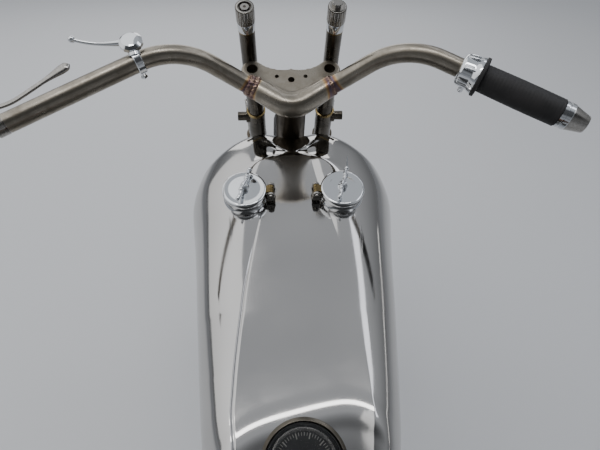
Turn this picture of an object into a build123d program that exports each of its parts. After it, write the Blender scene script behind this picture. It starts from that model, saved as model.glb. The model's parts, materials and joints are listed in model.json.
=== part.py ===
from build123d import *
import os
from math import sin, cos, pi, radians, sqrt, asin, atan2, hypot

# Hand-built rigid-frame motorcycle with a sprung parallel fork and a bare metal tank.
# Millimetres. X to the rider's left, Y to the rear, Z up, floor at Z 0.
os.makedirs("parts", exist_ok=True)

# Lengths along the machine, from the front axle to the rear one
front_reach = 498.0          # front axle to the down tube's foot
down_to_crank = 267.0
crank_to_gearbox = 235.0
gearbox_to_post = 142.0      # to the foot of the seat post
post_to_tyre = 23.0          # from there to the rear tyre
front_tyre_radius = 345.0
rear_tyre_radius = 340.0
post_to_axle = post_to_tyre + rear_tyre_radius
wheelbase = front_reach + down_to_crank + crank_to_gearbox + gearbox_to_post + post_to_axle

# Heights, from the floor to the engine's top, the tank and the fork's top plate
rail_z = 175.0
rail_to_crank = 143.0
vee_half = radians(25.0)     # each cylinder leans this far from upright
rocker_top = 348.5           # from the crank, along the bore
rocker_half = 25.0
tank_room = 23.6             # between the rocker boxes and the tank
plate_over_tank = 332.0      # from the tank's lowest point
stand_lift = 18.0            # the centre stand holds the rear tyre this far off the floor
crank_z = rail_z + rail_to_crank
engine_top = crank_z + rocker_top * cos(vee_half) + rocker_half * sin(vee_half)
tank_foot = engine_top + tank_room
plate_height = tank_foot + plate_over_tank

# Steering: the plate lies square to an axis that leans back by the rake
rake = radians(26.0)
axle_lead = 96.0             # front axle ahead of the steering axis

front_axle_y = front_tyre_radius - (wheelbase + front_tyre_radius + rear_tyre_radius) / 2
rear_axle_y = front_axle_y + wheelbase
rear_axle_z = rear_tyre_radius + stand_lift
axle_drop = (plate_height - front_tyre_radius + axle_lead * sin(rake)) / cos(rake)
plate_y = front_axle_y + axle_lead * cos(rake) + axle_drop * sin(rake)
down_foot_y = front_axle_y + front_reach
crank_y = down_foot_y + down_to_crank
gearbox_y = crank_y + crank_to_gearbox
post_foot_y = gearbox_y + gearbox_to_post

# Running clearances
pin_gap = 0.05               # radial, on axles, stem and pins
seat_gap = 0.3               # between faces that move or only rest on each other
over = 20.0                  # how far a cutting shape passes what it cuts

# Wheels
front_tyre_width = 72.0
rear_tyre_width = 106.0
front_tyre_depth = 77.0
rear_tyre_depth = 96.0
front_rim_radius = front_tyre_radius - front_tyre_depth
rear_rim_radius = rear_tyre_radius - rear_tyre_depth
bead_half = 0.34             # bead width over tyre width, half
rim_lip = 10.0
rim_wall = 4.0
rim_well = 12.0
spoke_count = 40
spoke_radius = 2.2
spoke_lean = 45.0
flange_radius = 44.0
axle_radius = 10.0

# Fork
plate_thick = 12.0
plate_reach = 20.0           # leg holes ahead of the steering axis
leg_x = 57.0
leg_radius = 13.5
leg_sleeve_radius = 14.5
leg_sleeve_top = -96.0       # along the steering axis, from the plate
lug_radius = 7.5             # lamp lugs on the legs
lug_length = 14.0
spring_leg_x = 62.0
spring_leg_ahead = 49.0
spring_leg_radius = 10.0
post_radius = 11.6
post_cap_radius = 12.6
post_top = 93.0
post_cap_length = 24.0
yoke_top = -205.0
yoke_thick = 26.0
front_leg_lead = 60.0        # lower end of the spring leg ahead of the steering axis

# Handlebar: welded to the plate's rear edge
bar_radius = 12.7
bar_bend = 110.0
bar_weld = (60.0, -10.0, 4.0)        # x, ahead of the axis, above the plate
bar_elbow = (153.0, 6.4, 70.5)
bar_end_x = 352.0
bar_sweep = -0.602                   # ahead per x, from elbow to end
bar_drop = -0.021                    # up per x, from elbow to end
bar_apex = (0.0, -34.0, -2.0)        # middle of the vee behind the plate
vee_radius = 15.0                    # thicker tube of the vee
vee_share = 0.86                     # of the way from the apex to the weld
grip_radius = 18.6
grip_start_x = 249.0
grip_end_x = 341.0
cap_taper = 22.5

# Frame tubes
neck_radius = 24.0
neck_bore = 17.0
neck_top = -16.0
backbone_radius = 20.0
down_radius = 19.0
seat_post_radius = 15.0
stay_radius = 11.0
rail_radius = 14.0
rail_x = 100.0
axle_plate_x = 126.0
axle_plate_thick = 8.0
stay_x = 108.0
joint_behind = 590.0         # seat joint behind the plate
joint_below = 281.0
seat_joint = (0, plate_y + joint_behind, plate_height - joint_below)
stay_bend_y = seat_joint[1] + 174.0
stay_bend_z = seat_joint[2] - 51.0

# Centre stand
stand_y = post_foot_y - 37.0
stand_z = rail_z - 37.0
stand_ear_x = 97.0
stand_pin_radius = 8.0

# Fuel tank: distances behind its front, then heights and half widths
tank_front_y = plate_y - 33.0
notch_half = 52.0
notch_depth = 14.0
tunnel_half = 27.0
neck_room = 6.0              # between the tank and the steering head
cap_behind = 147.0
cap_x = 70.0
cap_tilt = radians(14.0)
cap_radius = 31.5
filler_radius = 29.5
dial_behind = 499.0
dial_tilt = radians(26.0)
dial_radius = 41.0

# Engine
case_radius = 112.0
case_half = 62.0
fin_radius = 62.0
head_radius = 68.0

written = []


def keep(name, shape):
    """Write one piece to its own file."""
    solids = shape.solids()
    whole = solids[0] if len(solids) == 1 else Compound(solids)
    export_step(whole, f"parts/{name}.step")
    written.append(name)
    return whole


def rod(start, end, radius):
    """Round bar between two points."""
    run = Vector(*end) - Vector(*start)
    align = (Align.CENTER, Align.CENTER, Align.MIN)
    return Plane(origin=start, z_dir=run) * Cylinder(radius, run.length, align=align)


def bent_rod(points, bends, radius):
    """Round bar along straight runs joined by arcs."""
    path = FilletPolyline(*points, radius=bends)
    section = Plane(origin=path @ 0, z_dir=path % 0) * Circle(radius)
    return sweep(section, path=path)


def block(x0, x1, y0, y1, z0, z1):
    """Straight block between two corners."""
    return Pos((x0 + x1) / 2, (y0 + y1) / 2, (z0 + z1) / 2) * Box(x1 - x0, y1 - y0, z1 - z0)


def disc_x(x0, x1, y, z, radius):
    """Disc whose axis runs along X."""
    return rod((x0, y, z), (x1, y, z), radius)


# Steering frame: local x to the left, local -y ahead of the axis, local z up the axis
fork_plane = Plane(origin=(0, plate_y, plate_height), x_dir=(1, 0, 0), z_dir=(0, sin(rake), cos(rake)))


def at_fork(x, ahead, up):
    """A point given from the steering axis and the plate."""
    y = plate_y - ahead * cos(rake) + up * sin(rake)
    z = plate_height + ahead * sin(rake) + up * cos(rake)
    return (x, y, z)


# Wheels

def wheel_plane(y, z):
    """Wheel frame: local z along the axle, local x to the rear."""
    return Plane(origin=(0, y, z), x_dir=(0, 1, 0), z_dir=(1, 0, 0))


def spun(face):
    """Turn a profile drawn with x as radius and y as width about the axle."""
    return revolve(Plane.XZ * face, axis=Axis.Z)


# share of the section's height, share of half the width: from over the bead to the tread's middle
tyre_outline = ((0.25, 0.89), (0.48, 1.0), (0.74, 0.95), (0.91, 0.70), (1.0, 0.26))


def tyre(radius, width, rim_radius):
    """Tyre with straight beads, full side walls and a crowned tread."""
    tall = radius - rim_radius
    bead = bead_half * width
    half = [(rim_radius, bead), (rim_radius + rim_lip, bead)]
    half += [(rim_radius + share * tall, across * width / 2) for share, across in tyre_outline]
    profile = Polyline(*half, *[(out, -across) for out, across in reversed(half)], close=True)
    return spun(make_face(profile))


def rim(width, rim_radius):
    """Rim with two lips and a dropped well that the spokes enter."""
    bead = bead_half * width
    out = bead + rim_wall
    well = 0.5 * bead
    profile = Polyline(
        (rim_radius + rim_lip, bead), (rim_radius + rim_lip, out), (rim_radius - rim_wall, out),
        (rim_radius - rim_well - rim_wall, well + rim_wall), (rim_radius - rim_well - rim_wall, -well - rim_wall),
        (rim_radius - rim_wall, -out), (rim_radius + rim_lip, -out), (rim_radius + rim_lip, -bead),
        (rim_radius, -bead), (rim_radius - rim_well, -well), (rim_radius - rim_well, well),
        (rim_radius, bead), close=True)
    return spun(make_face(profile))


def hub(half, drum_radius, drum_from, drum_to):
    """Hub with two spoke flanges and a brake drum, bored for the axle."""
    body = Cylinder(24, 2 * half)
    for side in (-1, 1):
        body += Pos(0, 0, side * (half - 10)) * Cylinder(flange_radius, 18)
    body += Pos(0, 0, (drum_from + drum_to) / 2) * Cylinder(drum_radius, abs(drum_to - drum_from))
    return body - Cylinder(axle_radius + pin_gap, 2 * (half + abs(drum_to) + over))


def spokes(half, rim_radius):
    """Crossed wire spokes, laced from two flanges to the rim's well."""
    wires = []
    for number in range(spoke_count):
        side = 1 if number % 2 else -1
        turn = 1 if (number // 2) % 2 else -1
        rim_angle = radians(number * 360 / spoke_count)
        hub_angle = rim_angle - radians(spoke_lean) * turn
        inner = flange_radius - 3
        outer = rim_radius - rim_well - 2
        start = (inner * cos(hub_angle), inner * sin(hub_angle), side * (half - 10 + 4 * turn))
        end = (outer * cos(rim_angle), outer * sin(rim_angle), side * 5)
        run = Vector(*end) - Vector(*start)
        wire = extrude(RegularPolygon(spoke_radius, 6), run.length)
        wires.append(Plane(origin=start, z_dir=run) * wire)
    return wires


def laced_wheel(half, width, rim_radius, drum):
    """Rim, hub and spokes as one piece."""
    return hub(half, *drum).fuse(rim(width, rim_radius), *spokes(half, rim_radius))


front_hub_half = 28.0
front_drum = (80.0, 4.0, 26.0)
rear_hub_half = 46.0
rear_drum = (88.0, 40.0, 68.0)
sprocket_x = -82.0
sprocket_thick = 7.0
sprocket_radius = 92.0       # at the chain's pins
sprocket_boss = 34.0
tooth_count = 36
tooth_depth = 6.0
hole_circle = 60.0
hole_radius = 15.0
chain_half = 6.0

front_plane = wheel_plane(front_axle_y, front_tyre_radius)
rear_plane = wheel_plane(rear_axle_y, rear_axle_z)
keep("front_tyre", front_plane * tyre(front_tyre_radius, front_tyre_width, front_rim_radius))
front_wheel = laced_wheel(front_hub_half, front_tyre_width, front_rim_radius, front_drum)
keep("front_wire_wheel", front_plane * front_wheel)
keep("rear_tyre", rear_plane * tyre(rear_tyre_radius, rear_tyre_width, rear_rim_radius))
keep("rear_wire_wheel", rear_plane * laced_wheel(rear_hub_half, rear_tyre_width, rear_rim_radius, rear_drum))



def toothed(radius, depth, count):
    """Sprocket outline: each tooth has a root, two flanks and a narrow tip."""
    points = []
    for number in range(count):
        for share, low in ((-0.30, depth), (-0.12, 0), (0.12, 0), (0.30, depth)):
            angle = 2 * pi * (number + share) / count
            points.append(((radius - low) * cos(angle), (radius - low) * sin(angle)))
    return make_face(Polyline(*points, close=True))


# Rear sprocket: a toothed plate with lightening holes, on the hub's right end
sprocket = Pos(0, 0, sprocket_x - sprocket_thick / 2) * extrude(
    toothed(sprocket_radius - chain_half, tooth_depth, tooth_count), sprocket_thick)
boss_length = -rear_hub_half - sprocket_x + sprocket_thick / 2
sprocket += Pos(0, 0, -rear_hub_half - boss_length / 2) * Cylinder(sprocket_boss, boss_length)
sprocket -= Pos(0, 0, sprocket_x) * Cylinder(axle_radius + pin_gap, 2 * (boss_length + over))
for number in range(6):
    window = Rot(0, 0, 60 * number) * Pos(hole_circle, 0, 0) * Cylinder(hole_radius, 2 * sprocket_thick)
    sprocket -= Pos(0, 0, sprocket_x) * window
keep("rear_sprocket", rear_plane * sprocket)

# Frame

neck_low = yoke_top + seat_gap
neck = Pos(0, 0, (neck_top + neck_low) / 2) * Cylinder(neck_radius, neck_top - neck_low)
for end in (neck_top - 7, neck_low + 7):
    neck += Pos(0, 0, end) * Cylinder(neck_radius + 3, 14)
neck -= Pos(0, 0, neck_low) * Cylinder(neck_bore, 4 * (neck_top - neck_low))
neck = fork_plane * neck
keep("steering_head", neck)
neck_core = fork_plane * (Pos(0, 0, (neck_top + neck_low) / 2) * Cylinder(neck_radius, neck_top - neck_low))

backbone_start = at_fork(0, 0, -142)
backbone = rod(backbone_start, seat_joint, backbone_radius) - neck_core - neck
keep("backbone_tube", backbone)


def largest(shape):
    """The biggest solid that is left after a cut."""
    return max(shape.solids(), key=lambda solid: solid.volume)


down_top = at_fork(0, 0, -118)
down_foot = (0, down_foot_y, crank_z - 56)
down_tube = largest(rod(down_top, down_foot, down_radius) - neck_core - neck - backbone)
keep("front_down_tube", down_tube)

seat_foot = (0, post_foot_y, rail_z)
seat_post = rod(seat_joint, seat_foot, seat_post_radius)
seat_post += disc_x(-rail_x, rail_x, seat_foot[1], rail_z, rail_radius - 1)
seat_post = largest(seat_post - backbone)
keep("seat_post", seat_post)

rear_inner = axle_plate_x - 8


def lower_rail(side):
    """Rail under the engine, from the down tube to the axle plate."""
    points = [(side * (rail_radius + 1), down_foot_y, down_foot[2] + 10),
              (side * rail_x, down_foot_y + 37, rail_z),
              (side * rail_x, post_foot_y + 28, rail_z),
              (side * rear_inner, rear_axle_y - 62, rear_axle_z - 28)]
    rail = bent_rod(points, (50, 180), rail_radius)
    plate = Polyline((rear_axle_y - 92, rear_axle_z - 62), (rear_axle_y + 34, rear_axle_z - 26),
                     (rear_axle_y + 34, rear_axle_z + 26), (rear_axle_y - 70, rear_axle_z + 66), close=True)
    plate = extrude(Plane.YZ * make_face(plate), axle_plate_thick)
    plate = Pos(axle_plate_x if side > 0 else -axle_plate_x - axle_plate_thick, 0, 0) * plate
    slot = disc_x(0, side * (axle_plate_x + axle_plate_thick + over), rear_axle_y, rear_axle_z, axle_radius)
    ear_in = side * stand_ear_x - 7
    ear_out = side * stand_ear_x + 7
    ear = block(ear_in, ear_out, stand_y - 16, stand_y + 16, stand_z, rail_z)
    ear += disc_x(ear_in, ear_out, stand_y, stand_z, 13)
    pin_hole = disc_x(0, side * (stand_ear_x + 7 + over), stand_y, stand_z, stand_pin_radius + pin_gap)
    return rail + plate + ear - down_tube - seat_post - slot - pin_hole


rails = {}
stays = {}
for label, side in (("left", 1), ("right", -1)):
    rail = lower_rail(side)
    rails[side] = rail
    keep(f"{label}_lower_rail", rail)
    stay_points = [(side * (stay_radius + 1), seat_joint[1] + 2, seat_joint[2] - 6),
                   (side * stay_x, stay_bend_y, stay_bend_z),
                   (side * rear_inner, rear_axle_y - 52, rear_axle_z + 34)]
    stay = bent_rod(stay_points, (70,), stay_radius)
    stays[side] = keep(f"{label}_seat_stay", largest(stay - backbone - seat_post - rail))

# Fork

stem = Pos(0, 0, (yoke_top - plate_thick / 2) / 2) * Cylinder(neck_bore - pin_gap, -yoke_top - plate_thick / 2)
yoke_half = yoke_thick / 2
yoke_level = yoke_top - yoke_half
yoke = Pos(0, 0, yoke_level) * Cylinder(neck_radius + 3, yoke_thick)
yoke += Pos(0, -plate_reach / 2, yoke_level) * Box(2 * leg_x, 34, yoke_thick)
lug_pairs = ((leg_x, plate_reach, leg_sleeve_radius), (spring_leg_x, spring_leg_ahead, post_radius))
for side in (-1, 1):
    for x, ahead, hole in lug_pairs:
        yoke += Pos(side * x, -ahead, yoke_level) * Cylinder(hole + 7, yoke_thick)
for side in (-1, 1):
    for x, ahead, hole in lug_pairs:
        yoke -= Pos(side * x, -ahead, yoke_level) * Cylinder(hole, yoke_thick + 2)
keep("lower_yoke", fork_plane * (yoke + stem))

# Top plate: two leg ears, a middle lobe over the steering head and three small holes
ear_radius = 16.0
lobe_radius = 20.0
plate = Cylinder(lobe_radius, plate_thick)
web = Polyline((-leg_x, -plate_reach - 7), (0, -9), (leg_x, -plate_reach - 7), (leg_x + 6, -2), (26, 18),
               (0, 27), (-26, 18), (-leg_x - 6, -2), close=True)
plate += Pos(0, 0, -plate_thick / 2) * extrude(make_face(web), plate_thick)
for side in (-1, 1):
    plate += Pos(side * leg_x, -plate_reach, 0) * Cylinder(ear_radius, plate_thick)
# x, ahead of the axis, radius
plate_holes = ((leg_x, plate_reach, 8.2), (-leg_x, plate_reach, 8.2), (0, 0, 4.8), (21, 6, 3.1), (-21, 6, 3.1))
for x, ahead, hole in plate_holes:
    plate -= Pos(x, -ahead, 0) * Cylinder(hole, plate_thick + 2)


def along_bar(x):
    """Point of the bar's outer straight, in the steering frame's sizes."""
    run = x - bar_elbow[0]
    return (x, bar_elbow[1] + bar_sweep * run, bar_elbow[2] + bar_drop * run)


bar_end = along_bar(bar_end_x)
bar_points = [bar_end, bar_elbow, bar_weld, bar_apex]
bar_points += [(-x, ahead, up) for x, ahead, up in reversed(bar_points[:-1])]
handlebar = bent_rod([(x, -ahead, up) for x, ahead, up in bar_points],
                     (bar_bend, 60, 34, 60, bar_bend), bar_radius)
vee_end = [apex + vee_share * (weld - apex) for apex, weld in zip(bar_apex, bar_weld)]
handlebar += bent_rod([(vee_end[0], -vee_end[1], vee_end[2]), (bar_apex[0], -bar_apex[1], bar_apex[2]),
                       (-vee_end[0], -vee_end[1], vee_end[2])], (34,), vee_radius)
keep("handlebar", fork_plane * handlebar)
keep("fork_top_plate", fork_plane * (plate - handlebar))


def rigid_leg(side):
    """Rear fork leg: slim top under the plate, brass ring, thicker sleeve with a lamp lug."""
    foot = -axle_drop + 34
    slim = -leg_sleeve_top - plate_thick / 2
    leg = Pos(0, 0, leg_sleeve_top + slim / 2) * Cylinder(leg_radius, slim)
    leg += Pos(0, 0, (leg_sleeve_top + foot) / 2) * Cylinder(leg_sleeve_radius, leg_sleeve_top - foot)
    leg = Pos(side * leg_x, -plate_reach, 0) * leg
    for out, length, radius in ((10, 7, lug_radius + 3), (17, lug_length, lug_radius)):
        start = (side * (leg_x + out), -plate_reach, leg_sleeve_top - 14)
        leg += rod(start, (side * (leg_x + out + length), -plate_reach, leg_sleeve_top - 14), radius)
    return leg


def spring_leg(side):
    """Front leg: spring post with its cap above, plain rod to the rocker below."""
    foot = -axle_drop + 30
    plain = post_top - post_cap_length - yoke_top
    post = Pos(0, 0, yoke_top + plain / 2) * Cylinder(post_radius, plain)
    post += Pos(0, 0, yoke_level) * Cylinder(post_radius, yoke_thick)
    post += Pos(0, 0, post_top - post_cap_length / 2) * Cylinder(post_cap_radius, post_cap_length)
    post -= Pos(0, 0, post_top - 2) * Cylinder(post_cap_radius - 3.5, 8)
    post += Pos(0, 0, post_top - 4) * Cylinder(5, 7)
    post = Pos(side * spring_leg_x, -spring_leg_ahead, 0) * post
    low = (side * leg_x, -front_leg_lead, foot)
    high = (side * spring_leg_x, -spring_leg_ahead, yoke_top - yoke_thick + 1)
    return post + rod(high, low, spring_leg_radius)


def joined(pieces):
    """Like pieces of one body that don't touch, as one node."""
    return Compound([solid for piece in pieces for solid in piece.solids()])


pivot_up = -axle_drop + 40
rockers = []
rigid_legs = []
spring_legs = []
for side in (1, -1):
    ends = ((plate_reach, pivot_up + 8), (front_leg_lead, -axle_drop + 24), (axle_lead, -axle_drop))
    rocker = None
    for ahead, up in ends:
        boss = rod((side * (leg_x - 8), -ahead, up), (side * (leg_x - 24), -ahead, up), 17)
        rocker = boss if rocker is None else rocker + boss
    for (a0, u0), (a1, u1) in zip(ends[:-1], ends[1:]):
        run = Vector(0, a0 - a1, u1 - u0)
        centre = (side * (leg_x - 16), -(a0 + a1) / 2, (u0 + u1) / 2)
        bar = Plane(origin=centre, x_dir=(1, 0, 0), z_dir=run) * Box(16, 30, run.length)
        rocker += bar
    rocker -= rod((side * 20, -axle_lead, -axle_drop), (side * 80, -axle_lead, -axle_drop), axle_radius)
    leg = rigid_leg(side) - rocker
    spring = spring_leg(side) - rocker
    rockers.append(rocker)
    rigid_legs.append(leg)
    spring_legs.append(spring)
keep("fork_rockers", fork_plane * joined(rockers))
keep("fork_rigid_legs", fork_plane * joined(rigid_legs))
keep("fork_spring_legs", fork_plane * joined(spring_legs))

front_axle = disc_x(-leg_x + 2, leg_x - 2, front_axle_y, front_tyre_radius, axle_radius)
for side in (-1, 1):
    front_axle += disc_x(side * (leg_x - 8), side * (leg_x + 6), front_axle_y, front_tyre_radius, 15)
    inner = side * (front_hub_half + seat_gap)
    front_axle += disc_x(inner, side * (leg_x - 24), front_axle_y, front_tyre_radius, 14)
keep("front_axle", front_axle)

# Controls on the bar

def bar_sleeve(x0, x1, radius):
    """Sleeve round the bar between two widths, on the side of their sign."""
    side = 1 if x0 > 0 else -1
    a0 = along_bar(abs(x0))
    a1 = along_bar(abs(x1))
    return rod((side * a0[0], -a0[1], a0[2]), (side * a1[0], -a1[1], a1[2]), radius)


housing = bar_sleeve(-222, -grip_start_x + 4, 19.5) + bar_sleeve(-grip_start_x + 4, -grip_start_x, 26)
clamp_centre = along_bar(232)
housing += Pos(-232, -clamp_centre[1] + 22, clamp_centre[2] - 8) * Cylinder(5, 16)
keep("throttle_housing", fork_plane * (housing - handlebar))
grip = bar_sleeve(-grip_start_x, -grip_end_x, grip_radius)
keep("right_grip", fork_plane * (grip - handlebar))
end_cap = bar_sleeve(-grip_end_x, -bar_end_x, 17.5)
side_end = along_bar(bar_end_x)
end_plane = Plane(origin=(-side_end[0], -side_end[1], side_end[2]), z_dir=Vector(-1, -bar_sweep, bar_drop))
taper = end_plane * Pos(0, 0, cap_taper / 2) * Cone(16.5, 11, cap_taper)
keep("right_bar_end", fork_plane * (end_cap + taper - handlebar))

# Filler lever clamp and thumb lever on the left bar
lever_at = along_bar(206)
clamp = bar_sleeve(198, 214, bar_radius + 5)
disc_centre = (206, -lever_at[1] - 18, lever_at[2] + 20)
thumb = clamp + Pos(*disc_centre) * Cylinder(15, 12)
thumb += rod((206, -lever_at[1] - 8, lever_at[2] + 8), disc_centre, 8)
lever_tip = (206 + 62, disc_centre[1] - 12, disc_centre[2] + 4)
thumb += rod(disc_centre, lever_tip, 3) + Pos(*lever_tip) * Sphere(4.5)
keep("left_thumb_lever", fork_plane * (thumb - handlebar))

# Bar-end lever with its pivot plugged in the bar's left end
left_end = along_bar(bar_end_x)
pivot = (left_end[0] + 16, -left_end[1] + 9, left_end[2])
inverted = rod((left_end[0], -left_end[1], left_end[2]), pivot, 12)
tip_at = along_bar(268)
tip = (tip_at[0], -tip_at[1] - 44, tip_at[2] + 10)
mid_at = along_bar(330)
middle = (mid_at[0], -mid_at[1] - 34, mid_at[2] + 2)
knuckle_at = (pivot[0] + 6, pivot[1] - 30, pivot[2])
for start, end in ((pivot, knuckle_at), (knuckle_at, middle), (middle, tip)):
    inverted += rod(start, end, 4) + Pos(*end) * Sphere(4)
inverted += Pos(*tip) * Sphere(5)
keep("bar_end_lever", fork_plane * (inverted - handlebar))

# Fuel tank

# behind the front, top, panel half, side half, side height, bottom, bottom half;
# heights stand on the tank's lowest point
tank_rows = (
    (0, 210, 15, 118, 132, 38, 86),
    (22, 227, 20, 154, 138, 18, 104),
    (80, 219, 28, 166, 138, 4, 112),
    (190, 202, 53, 147, 127, 0, 102),
    (300, 185, 69, 131, 110, 2, 92),
    (400, 169, 75, 116, 94, 8, 82),
    (455, 159, 76, 108, 84, 14, 76),
    (530, 125, 68, 97, 67, 20, 70),
    (600, 84, 48, 78, 48, 26, 58),
)


def tank_section(behind, top, panel, side, side_z, bottom, bottom_half):
    """Closed outline across the tank: flat panel, round shoulders, full sides."""
    shoulder = (panel + 0.74 * (side - panel), top - 0.25 * (top - side_z))
    flank = (0.47 * side + 0.53 * bottom_half + 7, 0.5 * (side_z + bottom))
    across = Plane(origin=(0, tank_front_y + behind, tank_foot), x_dir=(1, 0, 0), z_dir=(0, -1, 0))
    with BuildSketch(across) as outline:
        with BuildLine():
            Line((-panel, top), (panel, top))
            ThreePointArc((panel, top), shoulder, (side, side_z))
            ThreePointArc((side, side_z), flank, (bottom_half, bottom))
            Line((bottom_half, bottom), (-bottom_half, bottom))
            ThreePointArc((-bottom_half, bottom), (-flank[0], flank[1]), (-side, side_z))
            ThreePointArc((-side, side_z), (-shoulder[0], shoulder[1]), (-panel, top))
        make_face()
    return outline.sketch


tank_skin = loft([tank_section(*row) for row in tank_rows])
tank_back = tank_front_y + tank_rows[-1][0]


def backbone_height(y):
    """Height of the backbone's axis at a place along the machine."""
    share = (y - backbone_start[1]) / (seat_joint[1] - backbone_start[1])
    return backbone_start[2] + share * (seat_joint[2] - backbone_start[2])


backbone_slope = atan2(backbone_start[2] - seat_joint[2], seat_joint[1] - backbone_start[1])
tunnel_clear = (backbone_radius + seat_gap) / cos(backbone_slope)
cut_from = tank_front_y - over
cut_to = tank_back + over
cut_foot = tank_foot - over
tunnel = Polyline((cut_from, cut_foot), (cut_from, backbone_height(cut_from) + tunnel_clear),
                  (cut_to, backbone_height(cut_to) + tunnel_clear), (cut_to, cut_foot), close=True)
tunnel = Pos(-tunnel_half, 0, 0) * extrude(Plane.YZ * make_face(tunnel), 2 * tunnel_half)
notch = block(-notch_half, notch_half, cut_from, tank_front_y + notch_depth, cut_foot, plate_height)
head_room = fork_plane * Pos(0, 0, neck_low) * Cylinder(neck_radius + neck_room, 2 * (neck_top - neck_low))


def tilted(x, y, z, angle):
    """Frame on the tank's surface, leaning to the rear."""
    return Plane(origin=(x, y, z), x_dir=(1, 0, 0), z_dir=(0, sin(angle), cos(angle)))


def tank_top(behind):
    """Height of the flat panel at a distance behind the front, between two rows."""
    for low, high in zip(tank_rows[:-1], tank_rows[1:]):
        if low[0] <= behind <= high[0]:
            return tank_foot + low[1] + (high[1] - low[1]) * (behind - low[0]) / (high[0] - low[0])
    return tank_foot + tank_rows[-1][1]


# Instrument: a cup let into the tank's rear slope, open at the top under a bezel
dial_plane = tilted(0, tank_front_y + dial_behind, tank_top(dial_behind) + 2, dial_tilt)
well_depth = 24.0
dial_wall = 4.0
dial_floor = 12.0            # thickness of the cup's floor
bezel_lip = 4.5
well_top = 30.0
well = Pos(0, 0, (well_top - well_depth) / 2) * Cylinder(dial_radius + seat_gap, well_top + well_depth)
well = dial_plane * well
tank = tank_skin - tunnel - notch - head_room - well
keep("fuel_tank", tank)
dial = Pos(0, 0, (bezel_lip - well_depth) / 2) * Cylinder(dial_radius, well_depth + bezel_lip)
dial += Pos(0, 0, bezel_lip / 2 - 1) * Cylinder(dial_radius + dial_wall, bezel_lip + 2)
dial -= Pos(0, 0, dial_floor - well_depth + well_top) * Cylinder(dial_radius - dial_wall, 2 * well_top)
keep("instrument", dial_plane * dial - tank)

# Filler necks and hinged caps, one pair on each shoulder
cap_level = 16.0             # the cap's lower face above the shoulder
cap_thick = 9.0
hinge_out = cap_radius + 6
knuckle_radius = 3.8
necks = []
for label, side in (("left", 1), ("right", -1)):
    spot = tilted(side * cap_x, tank_front_y + cap_behind, tank_top(cap_behind) - 4, cap_tilt)
    collar = Pos(0, 0, cap_level / 2 - 15) * Cylinder(filler_radius, cap_level + 30)
    collar += Pos(0, 0, cap_level - 4) * Cylinder(cap_radius, 8)
    ears = Pos(-side * (hinge_out - 2), 0, cap_level - 4) * Box(16, 22, 8)
    for fore in (-9, 9):
        ears += Pos(-side * hinge_out, fore, cap_level + 3) * Box(9, 4, 10)
    collar = collar + ears
    pin = Pos(-side * hinge_out, 0, cap_level + 4) * Rot(90, 0, 0) * Cylinder(2, 22)
    necks.append(spot * (collar + pin) - tank)
    lid = Pos(0, 0, cap_level + seat_gap + cap_thick / 2) * Cylinder(cap_radius, cap_thick)
    lid = chamfer(lid.edges().filter_by(GeomType.CIRCLE).sort_by(Axis.Z)[-1], 2)
    knuckle = Pos(-side * (hinge_out - 4), 0, cap_level + 4.8) * Box(10, 13, 7)
    knuckle += Pos(-side * hinge_out, 0, cap_level + 4) * Rot(90, 0, 0) * Cylinder(knuckle_radius, 13)
    lid = lid + knuckle - Pos(-side * hinge_out, 0, cap_level + 4) * Rot(90, 0, 0) * Cylinder(2 + pin_gap, 30)
    lid += Pos(0, 0, cap_level + cap_thick + 3) * Cylinder(7, 8)
    top = cap_level + cap_thick + 9
    lid += rod((side * 3, -27, top), (-side * 3, 24, top), 3.2)
    keep(f"{label}_filler_cap", spot * lid)
keep("filler_necks", joined(necks))

# Engine: crankcase with a vee of two finned cylinders

barrel_foot = 140.0
case = disc_x(-case_half, case_half, crank_y, crank_z, case_radius)
case += block(-case_half + 8, case_half - 8, crank_y - 96, crank_y + 96, rail_z + rail_radius + 10, crank_z)


def leaning(side):
    """Cylinder frame: z along the bore away from the crank."""
    return Plane(origin=(0, crank_y, crank_z), x_dir=(1, 0, 0), z_dir=(0, side * sin(vee_half), cos(vee_half)))


for side in (-1, 1):
    case += leaning(side) * (Pos(0, 0, barrel_foot / 2) * Box(2 * case_half - 14, 104, barrel_foot))
case += block(-20, 20, down_foot_y + 6, crank_y - 90, crank_z - 84, crank_z - 44)
case += block(-30, 30, crank_y + 90, gearbox_y - 92, crank_z - 60, crank_z + 10)
case = case - down_tube - rails[1] - rails[-1]
keep("crankcase", case)

# Each stack of fins: its foot along the bore, pitch, fin thickness, core radius and fin radius
barrel_fin_count = 10
head_fin_count = 5
head_foot = barrel_foot + 118.0
head_pitch = 12.5
head_top = head_foot + head_fin_count * head_pitch + 8.0
barrel_stack = (barrel_foot + 8.0, 10.5, 3.2, 47.0, fin_radius)
head_stack = (head_foot, head_pitch, 3.6, 52.0, head_radius)


def finned_bore():
    """Barrel and head outline turned about the bore, fin by fin."""
    points = [(0, barrel_foot), (fin_radius - 6, barrel_foot), (fin_radius - 6, barrel_foot + 4)]
    for stack, count in ((barrel_stack, barrel_fin_count), (head_stack, head_fin_count)):
        foot, pitch, thick, core, radius = stack
        for number in range(count):
            low = foot + number * pitch
            points += [(core, low), (radius, low), (radius, low + thick), (core, low + thick)]
    points += [(head_stack[3], head_top - 8), (40, head_top - 8), (40, head_top), (0, head_top)]
    return revolve(Plane.XZ * make_face(Polyline(*points, close=True)), axis=Axis.Z)


bore = finned_bore()
rocker_tall = rocker_top - head_top + 4
rocker_box = Pos(0, 0, rocker_top - rocker_tall / 2) * Box(88, 2 * rocker_half, rocker_tall)
rocker_box = fillet(rocker_box.edges().filter_by(Axis.X), 11)
for name, side in (("front_cylinder", -1), ("rear_cylinder", 1)):
    whole = bore + rocker_box
    whole += Pos(-60, 0, head_top + 2) * Box(50, 44, 22)
    keep(name, leaning(side) * whole - case)

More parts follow.
